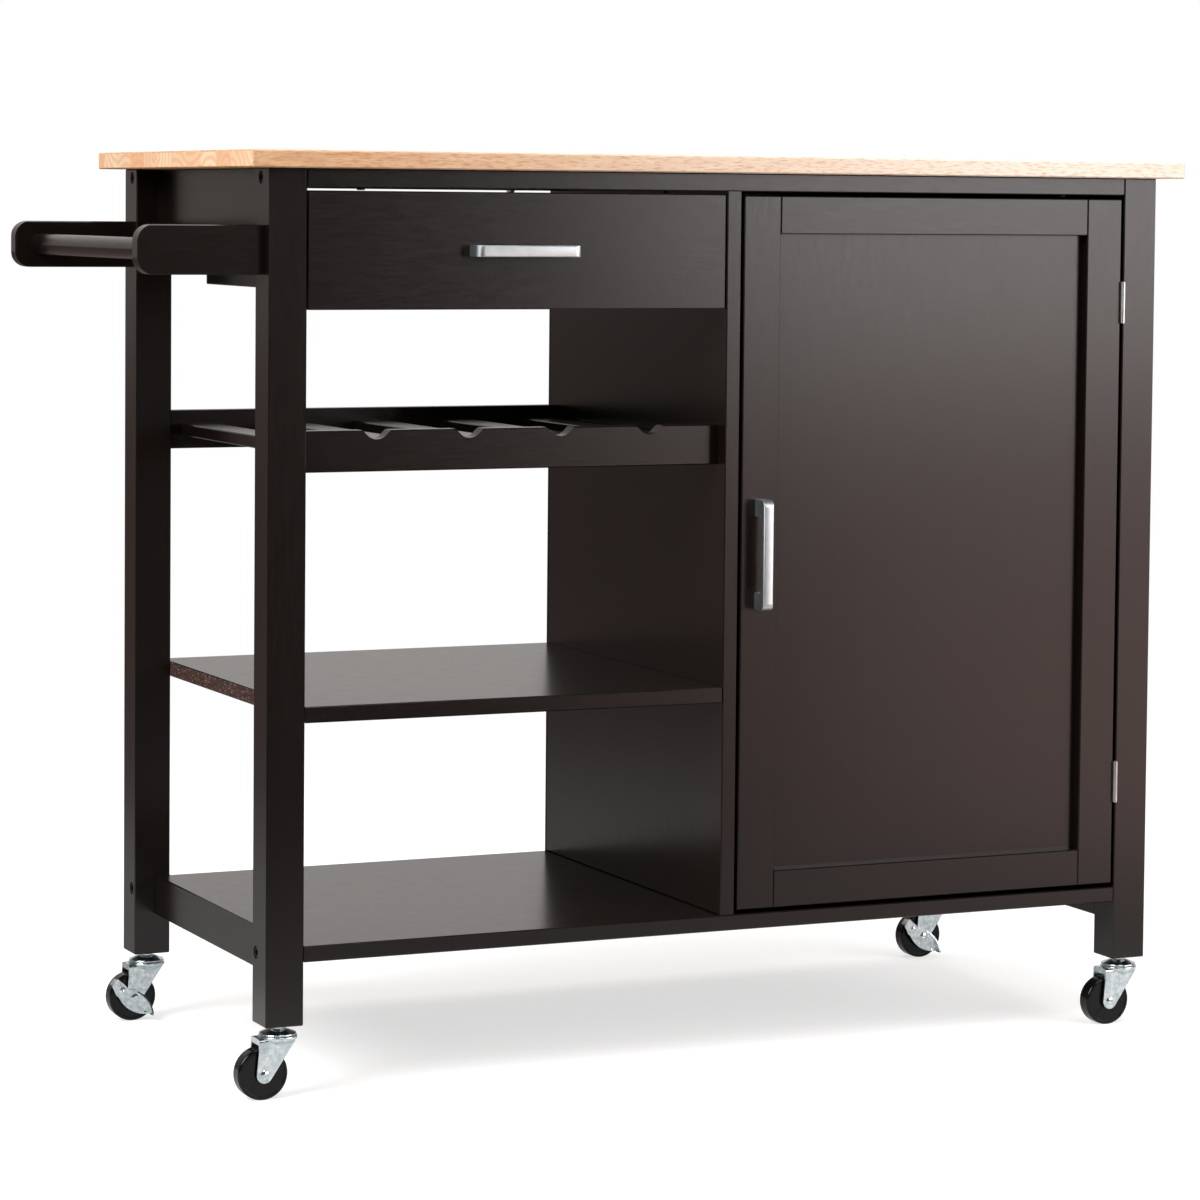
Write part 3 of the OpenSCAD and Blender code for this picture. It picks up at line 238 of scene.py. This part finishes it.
add(tree, "OutputWorld", inputs={"Surface": back.outputs[0]})


def softbox(name, place, aim, width, height, watts, colour=(1, 1, 1)):
    """A soft rectangular lamp at a place, turned towards aim; places and sizes in metres."""
    lamp = bpy.data.lights.new(name, "AREA")
    lamp.energy = watts
    lamp.color = colour
    lamp.shape = "RECTANGLE"
    lamp.size = width
    lamp.size_y = height
    holder = bpy.data.objects.new(name, lamp)
    bpy.context.scene.collection.objects.link(holder)
    holder.location = place
    holder.rotation_euler = (Vector(aim) - Vector(place)).to_track_quat("-Z", "Y").to_euler()


softbox("right_wall", (2.76, -2.49, 1.5), aim=(0.59, -0.07, 1.1), width=3.3, height=1.9, watts=94,
        colour=(1, 0.96, 0.96))
softbox("key", (0.2, -2.4, 3.5), aim=(0.2, 0, 0.3), width=1.5, height=1.5, watts=35)
softbox("left_lamp", (-3.2, -1.4, 2.6), aim=(0, 0, 0.4), width=2, height=2, watts=168)
softbox("top_lamp", (0.3, 0.6, 3.8), aim=(0, 0, 0), width=2.4, height=2.4, watts=60)
bpy.context.scene.view_settings.view_transform = "Standard"


# Painted frame. The legs, rails, panels, shelves and rack are rubberwood and veneered board, primed and
# sprayed with a satin espresso lacquer: near black with a brown depth. It sinks a little into the grain,
# so that the sheen shows faint streaks along each board, and it dries with a slight orange peel.
nodes = frame["nodes"]


def new_material(name):
    """An empty material with a Principled shader; returns the material, its tree and the shader."""
    material = bpy.data.materials.new(name)
    material.use_nodes = True
    tree = material.node_tree
    tree.nodes.clear()
    shader = add(tree, "BsdfPrincipled")
    add(tree, "OutputMaterial", inputs={"Surface": shader.outputs[0]})
    return material, tree, shader


def marks_of(size):
    """The scale at which a pattern's marks repeat about every size millimetres."""
    return 1000 / size


def espresso_lacquer(name, along):
    """Satin lacquer over wood whose grain runs along one axis, 0 to 2 for X to Z. Real pores are 0.2 mm
    wide and are drawn 1.6 mm wide, so that they show."""
    material, tree, shader = new_material(name)
    pore_w, figure_w, peel_w = 1.6, 14, 3
    place = add(tree, "TexCoord")
    stretch = [1, 1, 1]
    stretch[along] = 0.08
    grain_place = add(tree, "Mapping", inputs={"Vector": place.outputs["Object"], "Scale": stretch})
    pores = add(tree, "TexNoise", inputs={
        "Vector": grain_place.outputs[0], "Scale": marks_of(pore_w), "Detail": 3, "Roughness": 0.6})
    figure = add(tree, "TexNoise", inputs={
        "Vector": grain_place.outputs[0], "Scale": marks_of(figure_w), "Detail": 4, "Distortion": 0.6})
    peel = add(tree, "TexNoise", inputs={
        "Vector": place.outputs["Object"], "Scale": marks_of(peel_w), "Detail": 2})
    tone = add(tree, "Mix", {"data_type": "RGBA"},
               {"Factor": figure.outputs["Fac"], "A": linear("#0a0705"), "B": linear("#150e0b")})
    sheen = add(tree, "MapRange", inputs={
        "Value": pores.outputs["Fac"], "From Min": 0.3, "From Max": 0.7, "To Min": 0.205, "To Max": 0.265})
    surface = add(tree, "Math", {"operation": "MULTIPLY_ADD"},
                  {0: pores.outputs["Fac"], 1: 0.18, 2: peel.outputs["Fac"]})
    relief = add(tree, "Bump", inputs={
        "Height": surface.outputs[0], "Strength": 1, "Distance": 0.03 * mm})
    set_inputs(tree, shader, {
        "Base Color": tone.outputs["Result"], "Roughness": sheen.outputs["Result"],
        "Normal": relief.outputs[0], "IOR": 1.5,
    })
    return material


def finish_node(name, material):
    """Gives a CAD node its finish."""
    for slot in nodes[name].material_slots:
        slot.material = material


def longest_side(name):
    """The axis along which a node is longest, which is the way its grain runs."""
    low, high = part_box(name)
    size = high - low
    return max(range(3), key=lambda axis: size[axis])


lacquer = [espresso_lacquer("espresso_lacquer_" + "xyz"[axis], axis) for axis in range(3)]
painted = [name for name in nodes if name.startswith((
    "leg_", "top_rail_", "apron_", "side_", "divider_", "bottom_shelf", "cabinet_", "rack_", "towel_",
    "drawer_front", "drawer_sides", "drawer_back", "door_stile_", "door_rail_", "door_panel",
))]
for name in painted:
    finish_node(name, lacquer[longest_side(name)])


# Middle shelf. The same lacquered board, but cut to length after it was sprayed: its left end shows the
# particle board, red-brown from thin stain, with pale and dark chips 1 to 3 mm long.
def raw_end(material, from_x):
    """Leaves the board's end at from_x bare."""
    chip_w, skin, raw_rough = 1.2, 0.2 * mm, 0.8
    tree = material.node_tree
    shader = next(node for node in tree.nodes if node.type == "BSDF_PRINCIPLED")
    painted_tone = shader.inputs["Base Color"].links[0].from_socket
    painted_sheen = shader.inputs["Roughness"].links[0].from_socket
    place = add(tree, "TexCoord")
    stretched = add(tree, "Mapping", inputs={"Vector": place.outputs["Object"], "Scale": (1, 0.4, 1)})
    chips = add(tree, "TexVoronoi", {"feature": "F1"}, {
        "Vector": stretched.outputs[0], "Scale": marks_of(chip_w), "Randomness": 1})
    chip = add(tree, "SeparateColor", inputs={0: chips.outputs["Color"]})
    board_tone = add(tree, "ValToRGB", inputs={"Fac": chip.outputs[0]},
                     stops=[(0, "#1f120f"), (0.45, "#37211b"), (0.8, "#4c3027"), (1, "#7d5f50")])
    at = add(tree, "SeparateXYZ", inputs={0: place.outputs["Object"]})
    mask = add(tree, "Math", {"operation": "LESS_THAN"}, {0: at.outputs["X"], 1: from_x + skin})
    tone = add(tree, "Mix", {"data_type": "RGBA"},
               {"Factor": mask.outputs[0], "A": painted_tone, "B": board_tone.outputs["Color"]})
    sheen = add(tree, "Mix", {"data_type": "FLOAT"},
                {"Factor": mask.outputs[0], "A": painted_sheen, "B": raw_rough})
    set_inputs(tree, shader, {"Base Color": tone.outputs["Result"], "Roughness": sheen.outputs[0]})
    return material


shelf_lacquer = espresso_lacquer("espresso_lacquer_raw_end", 0)
finish_node("middle_shelf", raw_end(shelf_lacquer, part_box("middle_shelf")[0].x))


# Worktop. Rubberwood staves 42 mm wide and 1 m long, joined end to end and glued up into a block, then
# sanded and oiled: tan and straw pieces, each with its own tone, with short dark pores in the long grain,
# and end grain with arcs of growth rings at the block's two ends.
def butcher_block():
    """Oiled staves along X, with the front stave painted paler towards its right end: a painted sheen, where
    the light from the right falls on the front edge. The faces that look along X show end grain. Real pores
    are
    0.3 mm wide and rings 4 mm apart; they are drawn 1.5 mm and 9 mm, so that they show. From row to row the
    joints move on by a share of a stave, which leaves the front row in one piece."""
    material, tree, shader = new_material("oiled_rubberwood_block")
    stave_w, stave_l, row_shift, glue_line = 42 * mm, 1000 * mm, 0.425, 0.2 * mm
    fibre_w, pore_w, ring_w = 5, 1.5, 9
    low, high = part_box("tabletop")
    place = add(tree, "TexCoord")

    # Staves: the number of a row, each row moved on along X by its share, and a tone for each stave.
    row = add(tree, "VectorMath", {"operation": "DIVIDE"}, {0: place.outputs["Object"], 1: (1, stave_w, 1)})
    row_number = add(tree, "VectorMath", {"operation": "FLOOR"}, {0: row.outputs[0]})
    row_y = add(tree, "SeparateXYZ", inputs={0: row_number.outputs[0]})
    moved_on = add(tree, "Math", {"operation": "MULTIPLY"}, {0: row_y.outputs["Y"], 1: row_shift * stave_l})
    along_row = add(tree, "CombineXYZ", inputs={"X": moved_on.outputs[0]})
    joints = add(tree, "VectorMath", {"operation": "ADD"},
                 {0: place.outputs["Object"], 1: along_row.outputs[0]})
    staves = add(tree, "TexBrick", {"offset": 0, "squash": 1.0}, {
        "Vector": joints.outputs[0], "Scale": 1, "Brick Width": stave_l, "Row Height": stave_w,
        "Color1": (0, 0, 0, 1), "Color2": (1, 1, 1, 1), "Mortar": (0.5, 0.5, 0.5, 1),
        "Mortar Size": glue_line, "Bias": 0,
    })
    stave_tone = add(tree, "ValToRGB", inputs={"Fac": staves.outputs["Color"]}, stops=[
        (0, "#d0a06e"), (0.3, "#e2bf91"), (0.55, "#cb9a66"), (0.8, "#e8c9a0"), (1, "#d9ab7e")])

    # Long grain: fibres, the front stave's painted sheen, pores and glue lines.
    shift = add(tree, "VectorMath", {"operation": "MULTIPLY_ADD"},
                {0: staves.outputs["Color"], 1: (3, 5, 7), 2: place.outputs["Object"]})
    stretched = add(tree, "Mapping", inputs={"Vector": shift.outputs[0], "Scale": (0.1, 1, 1)})
    fibre = add(tree, "TexNoise", inputs={
        "Vector": stretched.outputs[0], "Scale": marks_of(fibre_w), "Detail": 5, "Roughness": 0.65,
        "Distortion": 0.5})
    short = add(tree, "Mapping", inputs={"Vector": shift.outputs[0], "Scale": (0.14, 1, 1)})
    pore = add(tree, "TexNoise", inputs={
        "Vector": short.outputs[0], "Scale": marks_of(pore_w), "Detail": 2, "Roughness": 0.55,
        "Distortion": 0.2})
    pore_dark = add(tree, "MapRange", inputs={
        "Value": pore.outputs["Fac"], "From Min": 0.5, "From Max": 0.66, "To Min": 0, "To Max": 0.6})
    band = add(tree, "MapRange", inputs={
        "Value": fibre.outputs["Fac"], "From Min": 0.35, "From Max": 0.65, "To Min": 0, "To Max": 0.8})
    grained = add(tree, "Mix", {"data_type": "RGBA", "blend_type": "MULTIPLY"}, {
        "Factor": band.outputs["Result"], "A": stave_tone.outputs["Color"], "B": linear("#e6bf92")})
    at = add(tree, "SeparateXYZ", inputs={0: place.outputs["Object"]})
    # Painted sheen: the front stave turns paler towards its right end, for the light that falls from the
    # right.
    painted_sheen_ramp = add(tree, "MapRange", smooth, {
        "Value": at.outputs["X"], "From Min": low.x, "From Max": low.x + 0.95 * (high.x - low.x),
        "To Min": 0.12, "To Max": 0.88})
    front_row = add(tree, "Math", {"operation": "LESS_THAN"},
                    {0: row_y.outputs["Y"], 1: math.floor(low.y / stave_w) + 0.5})
    painted_sheen_front_row = add(tree, "Math", {"operation": "MULTIPLY"},
                       {0: painted_sheen_ramp.outputs["Result"], 1: front_row.outputs[0]})
    paler = add(tree, "Mix", {"data_type": "RGBA"},
                {"Factor": painted_sheen_front_row.outputs[0], "A": grained.outputs["Result"], "B": linear("#fbf0e2")})
    long_grain = add(tree, "Mix", {"data_type": "RGBA", "blend_type": "MULTIPLY"}, {
        "Factor": pore_dark.outputs["Result"], "A": paler.outputs["Result"], "B": linear("#d9b48c")})
    glued = add(tree, "Mix", {"data_type": "RGBA"},
                {"Factor": staves.outputs["Fac"], "A": long_grain.outputs["Result"], "B": linear("#8a5c34")})

    # End grain: growth rings round a heart below the block, at another place for each row. At scale 1 the
    # rings would be wave_gap metres apart.
    wave_gap = 0.314
    heart_off, heart_spread = (0, -0.05, -high.z - 0.06), (0, 0.06, 0.12)
    end_tone = add(tree, "ValToRGB", inputs={"Fac": staves.outputs["Color"]}, stops=[
        (0, "#fbe3c4"), (0.3, "#ecae7c"), (0.5, "#f9dcba"), (0.75, "#f0b98c"), (1, "#f8d7b3")])
    chance = add(tree, "TexWhiteNoise", {"noise_dimensions": "1D"}, {"W": row_y.outputs["Y"]})
    heart = add(tree, "VectorMath", {"operation": "MULTIPLY_ADD"},
                {0: chance.outputs["Color"], 1: heart_spread, 2: heart_off})
    row_from = add(tree, "VectorMath", {"operation": "MULTIPLY"},
                   {0: row_number.outputs[0], 1: (0, -stave_w, 0)})
    in_row = add(tree, "VectorMath", {"operation": "ADD"},
                 {0: place.outputs["Object"], 1: row_from.outputs[0]})
    from_heart = add(tree, "VectorMath", {"operation": "ADD"}, {0: in_row.outputs[0], 1: heart.outputs[0]})
    rings = add(tree, "TexWave", {"wave_type": "RINGS", "rings_direction": "X", "wave_profile": "SIN"}, {
        "Vector": from_heart.outputs[0], "Scale": wave_gap / (ring_w * mm), "Distortion": 1.5, "Detail": 2,
        "Detail Scale": 1.5})
    ring_dark = add(tree, "MapRange", inputs={
        "Value": rings.outputs["Fac"], "From Min": 0.35, "From Max": 0.9, "To Min": 0, "To Max": 0.5})
    end_grain = add(tree, "Mix", {"data_type": "RGBA"}, {
        "Factor": ring_dark.outputs["Result"], "A": end_tone.outputs["Color"], "B": linear("#e9a876")})
    face = add(tree, "SeparateXYZ", inputs={0: place.outputs["Normal"]})
    flat = add(tree, "Math", {"operation": "ABSOLUTE"}, {0: face.outputs["X"]})
    at_end = add(tree, "Math", {"operation": "GREATER_THAN"}, {0: flat.outputs[0], 1: 0.8})

    wood = add(tree, "Mix", {"data_type": "RGBA"}, {
        "Factor": at_end.outputs[0], "A": glued.outputs["Result"], "B": end_grain.outputs["Result"]})
    relief = add(tree, "Bump", inputs={
        "Height": pore.outputs["Fac"], "Strength": 0.3, "Distance": 0.2 * mm})
    oil = add(tree, "MapRange", inputs={"Value": fibre.outputs["Fac"], "To Min": 0.42, "To Max": 0.58})
    set_inputs(tree, shader, {
        "Base Color": wood.outputs["Result"], "Roughness": oil.outputs["Result"],
        "Normal": relief.outputs[0], "IOR": 1.46,
        "Coat Weight": 0.12, "Coat Roughness": 0.4, "Coat IOR": 1.5,
    })
    return material


finish_node("tabletop", butcher_block())


# Casters. Forks, brake pedals, swivel plates and rivets are pressed from steel sheet, with the slightly
# rounded edges and shallow waves that pressing leaves, and have a bright, faintly blue zinc plate. The
# channels of the drawer's runners have the same plate.
def plated(name, light, dark, rough, grain=(1, 1, 1), mark_w=1.2, wave=0.0, cloud_w=8):
    """A plated metal: two close tones in clouds of cloud_w millimetres, fine marks of mark_w millimetres
    stretched by grain, and waves of the sheet itself, wave millimetres deep. Real marks are about 0.1 mm
    wide and are drawn coarser, so that they show."""
    material, tree, shader = new_material(name)
    place = add(tree, "TexCoord")
    marks_place = add(tree, "Mapping", inputs={"Vector": place.outputs["Object"], "Scale": grain})
    marks = add(tree, "TexNoise", inputs={
        "Vector": marks_place.outputs[0], "Scale": marks_of(mark_w), "Detail": 4, "Roughness": 0.6})
    cloud = add(tree, "TexNoise", inputs={
        "Vector": place.outputs["Object"], "Scale": marks_of(cloud_w), "Detail": 3})
    spread = add(tree, "MapRange", inputs={"Value": cloud.outputs["Fac"], "From Min": 0.3, "From Max": 0.7})
    tone = add(tree, "Mix", {"data_type": "RGBA"},
               {"Factor": spread.outputs["Result"], "A": linear(dark), "B": linear(light)})
    sheen = add(tree, "MapRange", inputs={
        "Value": marks.outputs["Fac"], "From Min": 0.3, "From Max": 0.7,
        "To Min": rough - 0.06, "To Max": rough + 0.08})
    fine = add(tree, "Bump", inputs={"Height": marks.outputs["Fac"], "Strength": 0.2, "Distance": 0.1 * mm})
    sheet = add(tree, "Bump", inputs={
        "Height": cloud.outputs["Fac"], "Strength": 1, "Distance": wave * mm, "Normal": fine.outputs[0]})
    set_inputs(tree, shader, {
        "Base Color": tone.outputs["Result"], "Metallic": 1.0,
        "Roughness": sheen.outputs["Result"], "Normal": sheet.outputs[0],
    })
    return material


def eased(name, material, width):
    """The same shape as a CAD node, with its sharp edges rounded over a width in millimetres."""
    same_place = 0.0005 * mm
    flat, smooth_to, rounded_from = math.radians(0.5), math.radians(28), math.radians(35)
    shape = bmesh.new()
    shape.from_mesh(nodes[name].data)
    bmesh.ops.remove_doubles(shape, verts=shape.verts, dist=same_place)
    bmesh.ops.dissolve_limit(shape, angle_limit=flat, verts=shape.verts, edges=shape.edges)
    data = bpy.data.meshes.new(name + "_eased")
    shape.to_mesh(data)
    shape.free()
    data.shade_smooth()
    data.set_sharp_from_angle(angle=smooth_to)
    data.materials.clear()
    data.materials.append(material)
    piece = bpy.data.objects.new(name + "_eased", data)
    bpy.context.scene.collection.objects.link(piece)
    edges = piece.modifiers.new("rounded_edges", "BEVEL")
    edges.width = width * mm
    edges.segments = 2
    edges.limit_method = "ANGLE"
    edges.angle_limit = rounded_from
    edges.harden_normals = True
    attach(piece, nodes[name]["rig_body"])
    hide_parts(name)


bright_zinc = plated("bright_zinc_plate", "#f2f8fa", "#bccbd0", rough=0.2,
                     grain=(1, 1, 0.2), wave=0.08, cloud_w=5)
for name in nodes:
    if name.startswith(("fork_", "brake_")):
        eased(name, bright_zinc, width=0.3)
    if name.startswith(("axle_", "caster_stems", "runner_channels", "runner_slides")):
        finish_node(name, bright_zinc)


# Wheels. Hard polypropylene, injection moulded and polished by its mould: glossy black, with faint flow
# marks that dull the gloss in swirls.
def moulded(name, light, dark, rough, ior=1.49):
    """A moulded plastic with faint flow marks, 11 mm wide, in its gloss."""
    material, tree, shader = new_material(name)
    flow_w = 100 / 9
    place = add(tree, "TexCoord")
    flow = add(tree, "TexNoise", inputs={
        "Vector": place.outputs["Object"], "Scale": marks_of(flow_w), "Detail": 3, "Distortion": 0.8})
    tone = add(tree, "Mix", {"data_type": "RGBA"},
               {"Factor": flow.outputs["Fac"], "A": linear(dark), "B": linear(light)})
    sheen = add(tree, "MapRange", inputs={
        "Value": flow.outputs["Fac"], "To Min": rough - 0.05, "To Max": rough + 0.07})
    set_inputs(tree, shader, {
        "Base Color": tone.outputs["Result"], "Roughness": sheen.outputs["Result"], "IOR": ior,
    })
    return material


black_plastic = moulded("black_polypropylene", "#0c0c0d", "#070708", rough=0.15, ior=1.36)
for name in nodes:
    if name.startswith("wheel_"):
        finish_node(name, black_plastic)


# Pulls. Each is one flat bar bent twice, brushed along its length and plated in satin nickel, and two
# screws hold it from behind. Its sheen is soft and lightly streaked along the bar.
nickel = plated("satin_nickel_plate", "#ced6d9", "#c3cbce", rough=0.4,
                grain=(0.06, 1, 1), mark_w=0.5)
nickel_upright = plated("satin_nickel_plate_upright", "#ced6d9", "#c3cbce", rough=0.4,
                        grain=(1, 1, 0.06), mark_w=0.5)
eased("drawer_pull", nickel, width=0.5)
eased("door_pull", nickel_upright, width=0.5)


# Fittings inside and behind. Barrel nuts, screws, shelf pins, hinges, the runners' ball cages and the catch's
# strike are turned or pressed from mild steel with a dull zinc plate; the long frame bolts have black oxide
# heads, made near black partly as painted shade for the shade in their recesses.
plain_steel = plated("zinc_plated_steel", "#d6d6d3", "#b4b5b4", rough=0.34)
black_oxide_and_shade_steel = plated("black_oxide_steel", "#2a2a2b", "#1a1a1b", rough=0.45)
for name in nodes:
    if name.startswith(("barrel_", "top_screws", "shelf_pins", "drawer_pull_screws", "door_pull_screws",
                        "hinge_", "catch_strike", "runner_cages")):
        finish_node(name, plain_steel)
# The frame bolts' near black is partly painted shade, for the shade in their recesses.
finish_node("frame_bolts", black_oxide_and_shade_steel)


# Hinge and catch screws. Small cross-recessed wood screws: the hinges' are almost flush, because the two
# leaves close against each other, and the catch's have round pan heads.
def cross_head(name, centre, facing, head_d, rise, body):
    """A screw head on a face that looks along X, towards facing, 1 or -1; sizes in metres."""
    sides, rim_rise, recess = 16, 0.4, 0.7
    crown_steps = ((0.1, 0.35), (0.14, 0.25))
    head = bmesh.new()
    bmesh.ops.create_circle(head, cap_ends=True, segments=sides, radius=head_d / 2)
    bmesh.ops.rotate(head, verts=head.verts, matrix=Matrix.Rotation(math.pi / sides, 3, "Z"))
    risen = bmesh.ops.extrude_face_region(head, geom=head.faces[:])["geom"]
    rim_verts = [v for v in risen if isinstance(v, bmesh.types.BMVert)]
    bmesh.ops.translate(head, verts=rim_verts, vec=(0, 0, rise * rim_rise))
    crown = next(f for f in risen if isinstance(f, bmesh.types.BMFace))
    for inward, up in crown_steps:
        bmesh.ops.inset_region(head, faces=[crown], thickness=head_d * inward)
        bmesh.ops.translate(head, verts=crown.verts, vec=(0, 0, rise * up))
    notches = [v for v in crown.verts if 20 < math.degrees(math.atan2(v.co.y, v.co.x)) % 90 < 70]
    bmesh.ops.scale(head, verts=notches, vec=(0.4, 0.4, 1))
    sunk = bmesh.ops.extrude_face_region(head, geom=[crown])["geom"]
    floor_verts = [v for v in sunk if isinstance(v, bmesh.types.BMVert)]
    bmesh.ops.delete(head, geom=[crown], context="FACES_ONLY")
    bmesh.ops.scale(head, verts=floor_verts, vec=(0.8, 0.8, 1))
    bmesh.ops.translate(head, verts=floor_verts, vec=(0, 0, -rise * recess))
    bmesh.ops.transform(head, verts=head.verts, matrix=(
        Matrix.Translation(centre) @ Matrix.Rotation(math.radians(90 * facing), 4, "Y")))
    bmesh.ops.recalc_face_normals(head, faces=head.faces)
    data = bpy.data.meshes.new(name)
    head.to_mesh(data)
    head.free()
    data.materials.append(plain_steel)
    piece = bpy.data.objects.new(name, data)
    bpy.context.scene.collection.objects.link(piece)
    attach(piece, body)


knuckle_r, leaf_off = 2.4 * mm, 0.3 * mm
screw_off, screw_step, hinge_half = 11.9 * mm, 12 * mm, 20.6 * mm
hinge_head_d, hinge_head_rise = 5.6 * mm, 0.26 * mm
low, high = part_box("hinge_frame_leaves")
pin_x, pin_y = high.x - knuckle_r, low.y + knuckle_r
for level, z in (("lower", low.z + hinge_half), ("upper", high.z - hinge_half)):
    for step, up in (("low", -screw_step), ("high", screw_step)):
        for leaf, side, body in (("frame", 1, "carcass"), ("door", -1, "door")):
            centre = (pin_x + side * leaf_off, pin_y + screw_off, z + up)
            cross_head(f"hinge_screw_{level}_{leaf}_{step}", centre, -side,
                       hinge_head_d, hinge_head_rise, body)

plate_t, slot_in, slot_up = 2.5 * mm, 13.75 * mm, 13.75 * mm
catch_head_d, catch_head_rise = 6.4 * mm, 2 * mm
low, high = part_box("door_catch")
for step, up in (("low", -slot_up), ("high", slot_up)):
    centre = (low.x + plate_t, low.y + slot_in, (low.z + high.z) / 2 + up)
    cross_head(f"catch_screw_{step}", centre, 1, catch_head_d, catch_head_rise, "carcass")


# Magnetic catch. Its case and the plate that two screws hold to the divider are moulded in white ABS, with
# a fine satin skin.
finish_node("door_catch", moulded("white_abs", "#e6e5e0", "#dddcd6", rough=0.38))


# Drawer bottom. Brown hardboard 4 mm thick: wood fibre pressed into a smooth, dull sheet with darker fibres
# in it. It slides from behind into grooves of the drawer's sides, under the drawer's back.
def hardboard():
    """Pressed fibre. Real fibres are 0.1 mm wide and are drawn 1.5 mm wide, so that they show."""
    material, tree, shader = new_material("brown_hardboard")
    fibre_w, cloud_w = 1.5, 40
    place = add(tree, "TexCoord")
    fibres = add(tree, "TexNoise", inputs={
        "Vector": place.outputs["Object"], "Scale": marks_of(fibre_w), "Detail": 4, "Roughness": 0.7,
        "Distortion": 1.2})
    cloud = add(tree, "TexNoise", inputs={
        "Vector": place.outputs["Object"], "Scale": marks_of(cloud_w), "Detail": 2})
    blend = add(tree, "Math", {"operation": "MULTIPLY_ADD"},
                {0: cloud.outputs["Fac"], 1: 0.4, 2: fibres.outputs["Fac"]})
    spread = add(tree, "MapRange", inputs={"Value": blend.outputs[0], "From Min": 0.4, "From Max": 1.0})
    tone = add(tree, "Mix", {"data_type": "RGBA"},
               {"Factor": spread.outputs["Result"], "A": linear("#4a3223"), "B": linear("#7b5a40")})
    relief = add(tree, "Bump", inputs={
        "Height": fibres.outputs["Fac"], "Strength": 0.3, "Distance": 0.2 * mm})
    set_inputs(tree, shader, {
        "Base Color": tone.outputs["Result"], "Roughness": 0.6, "Normal": relief.outputs[0], "IOR": 1.5})
    return material


finish_node("drawer_bottom", hardboard())

low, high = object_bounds()
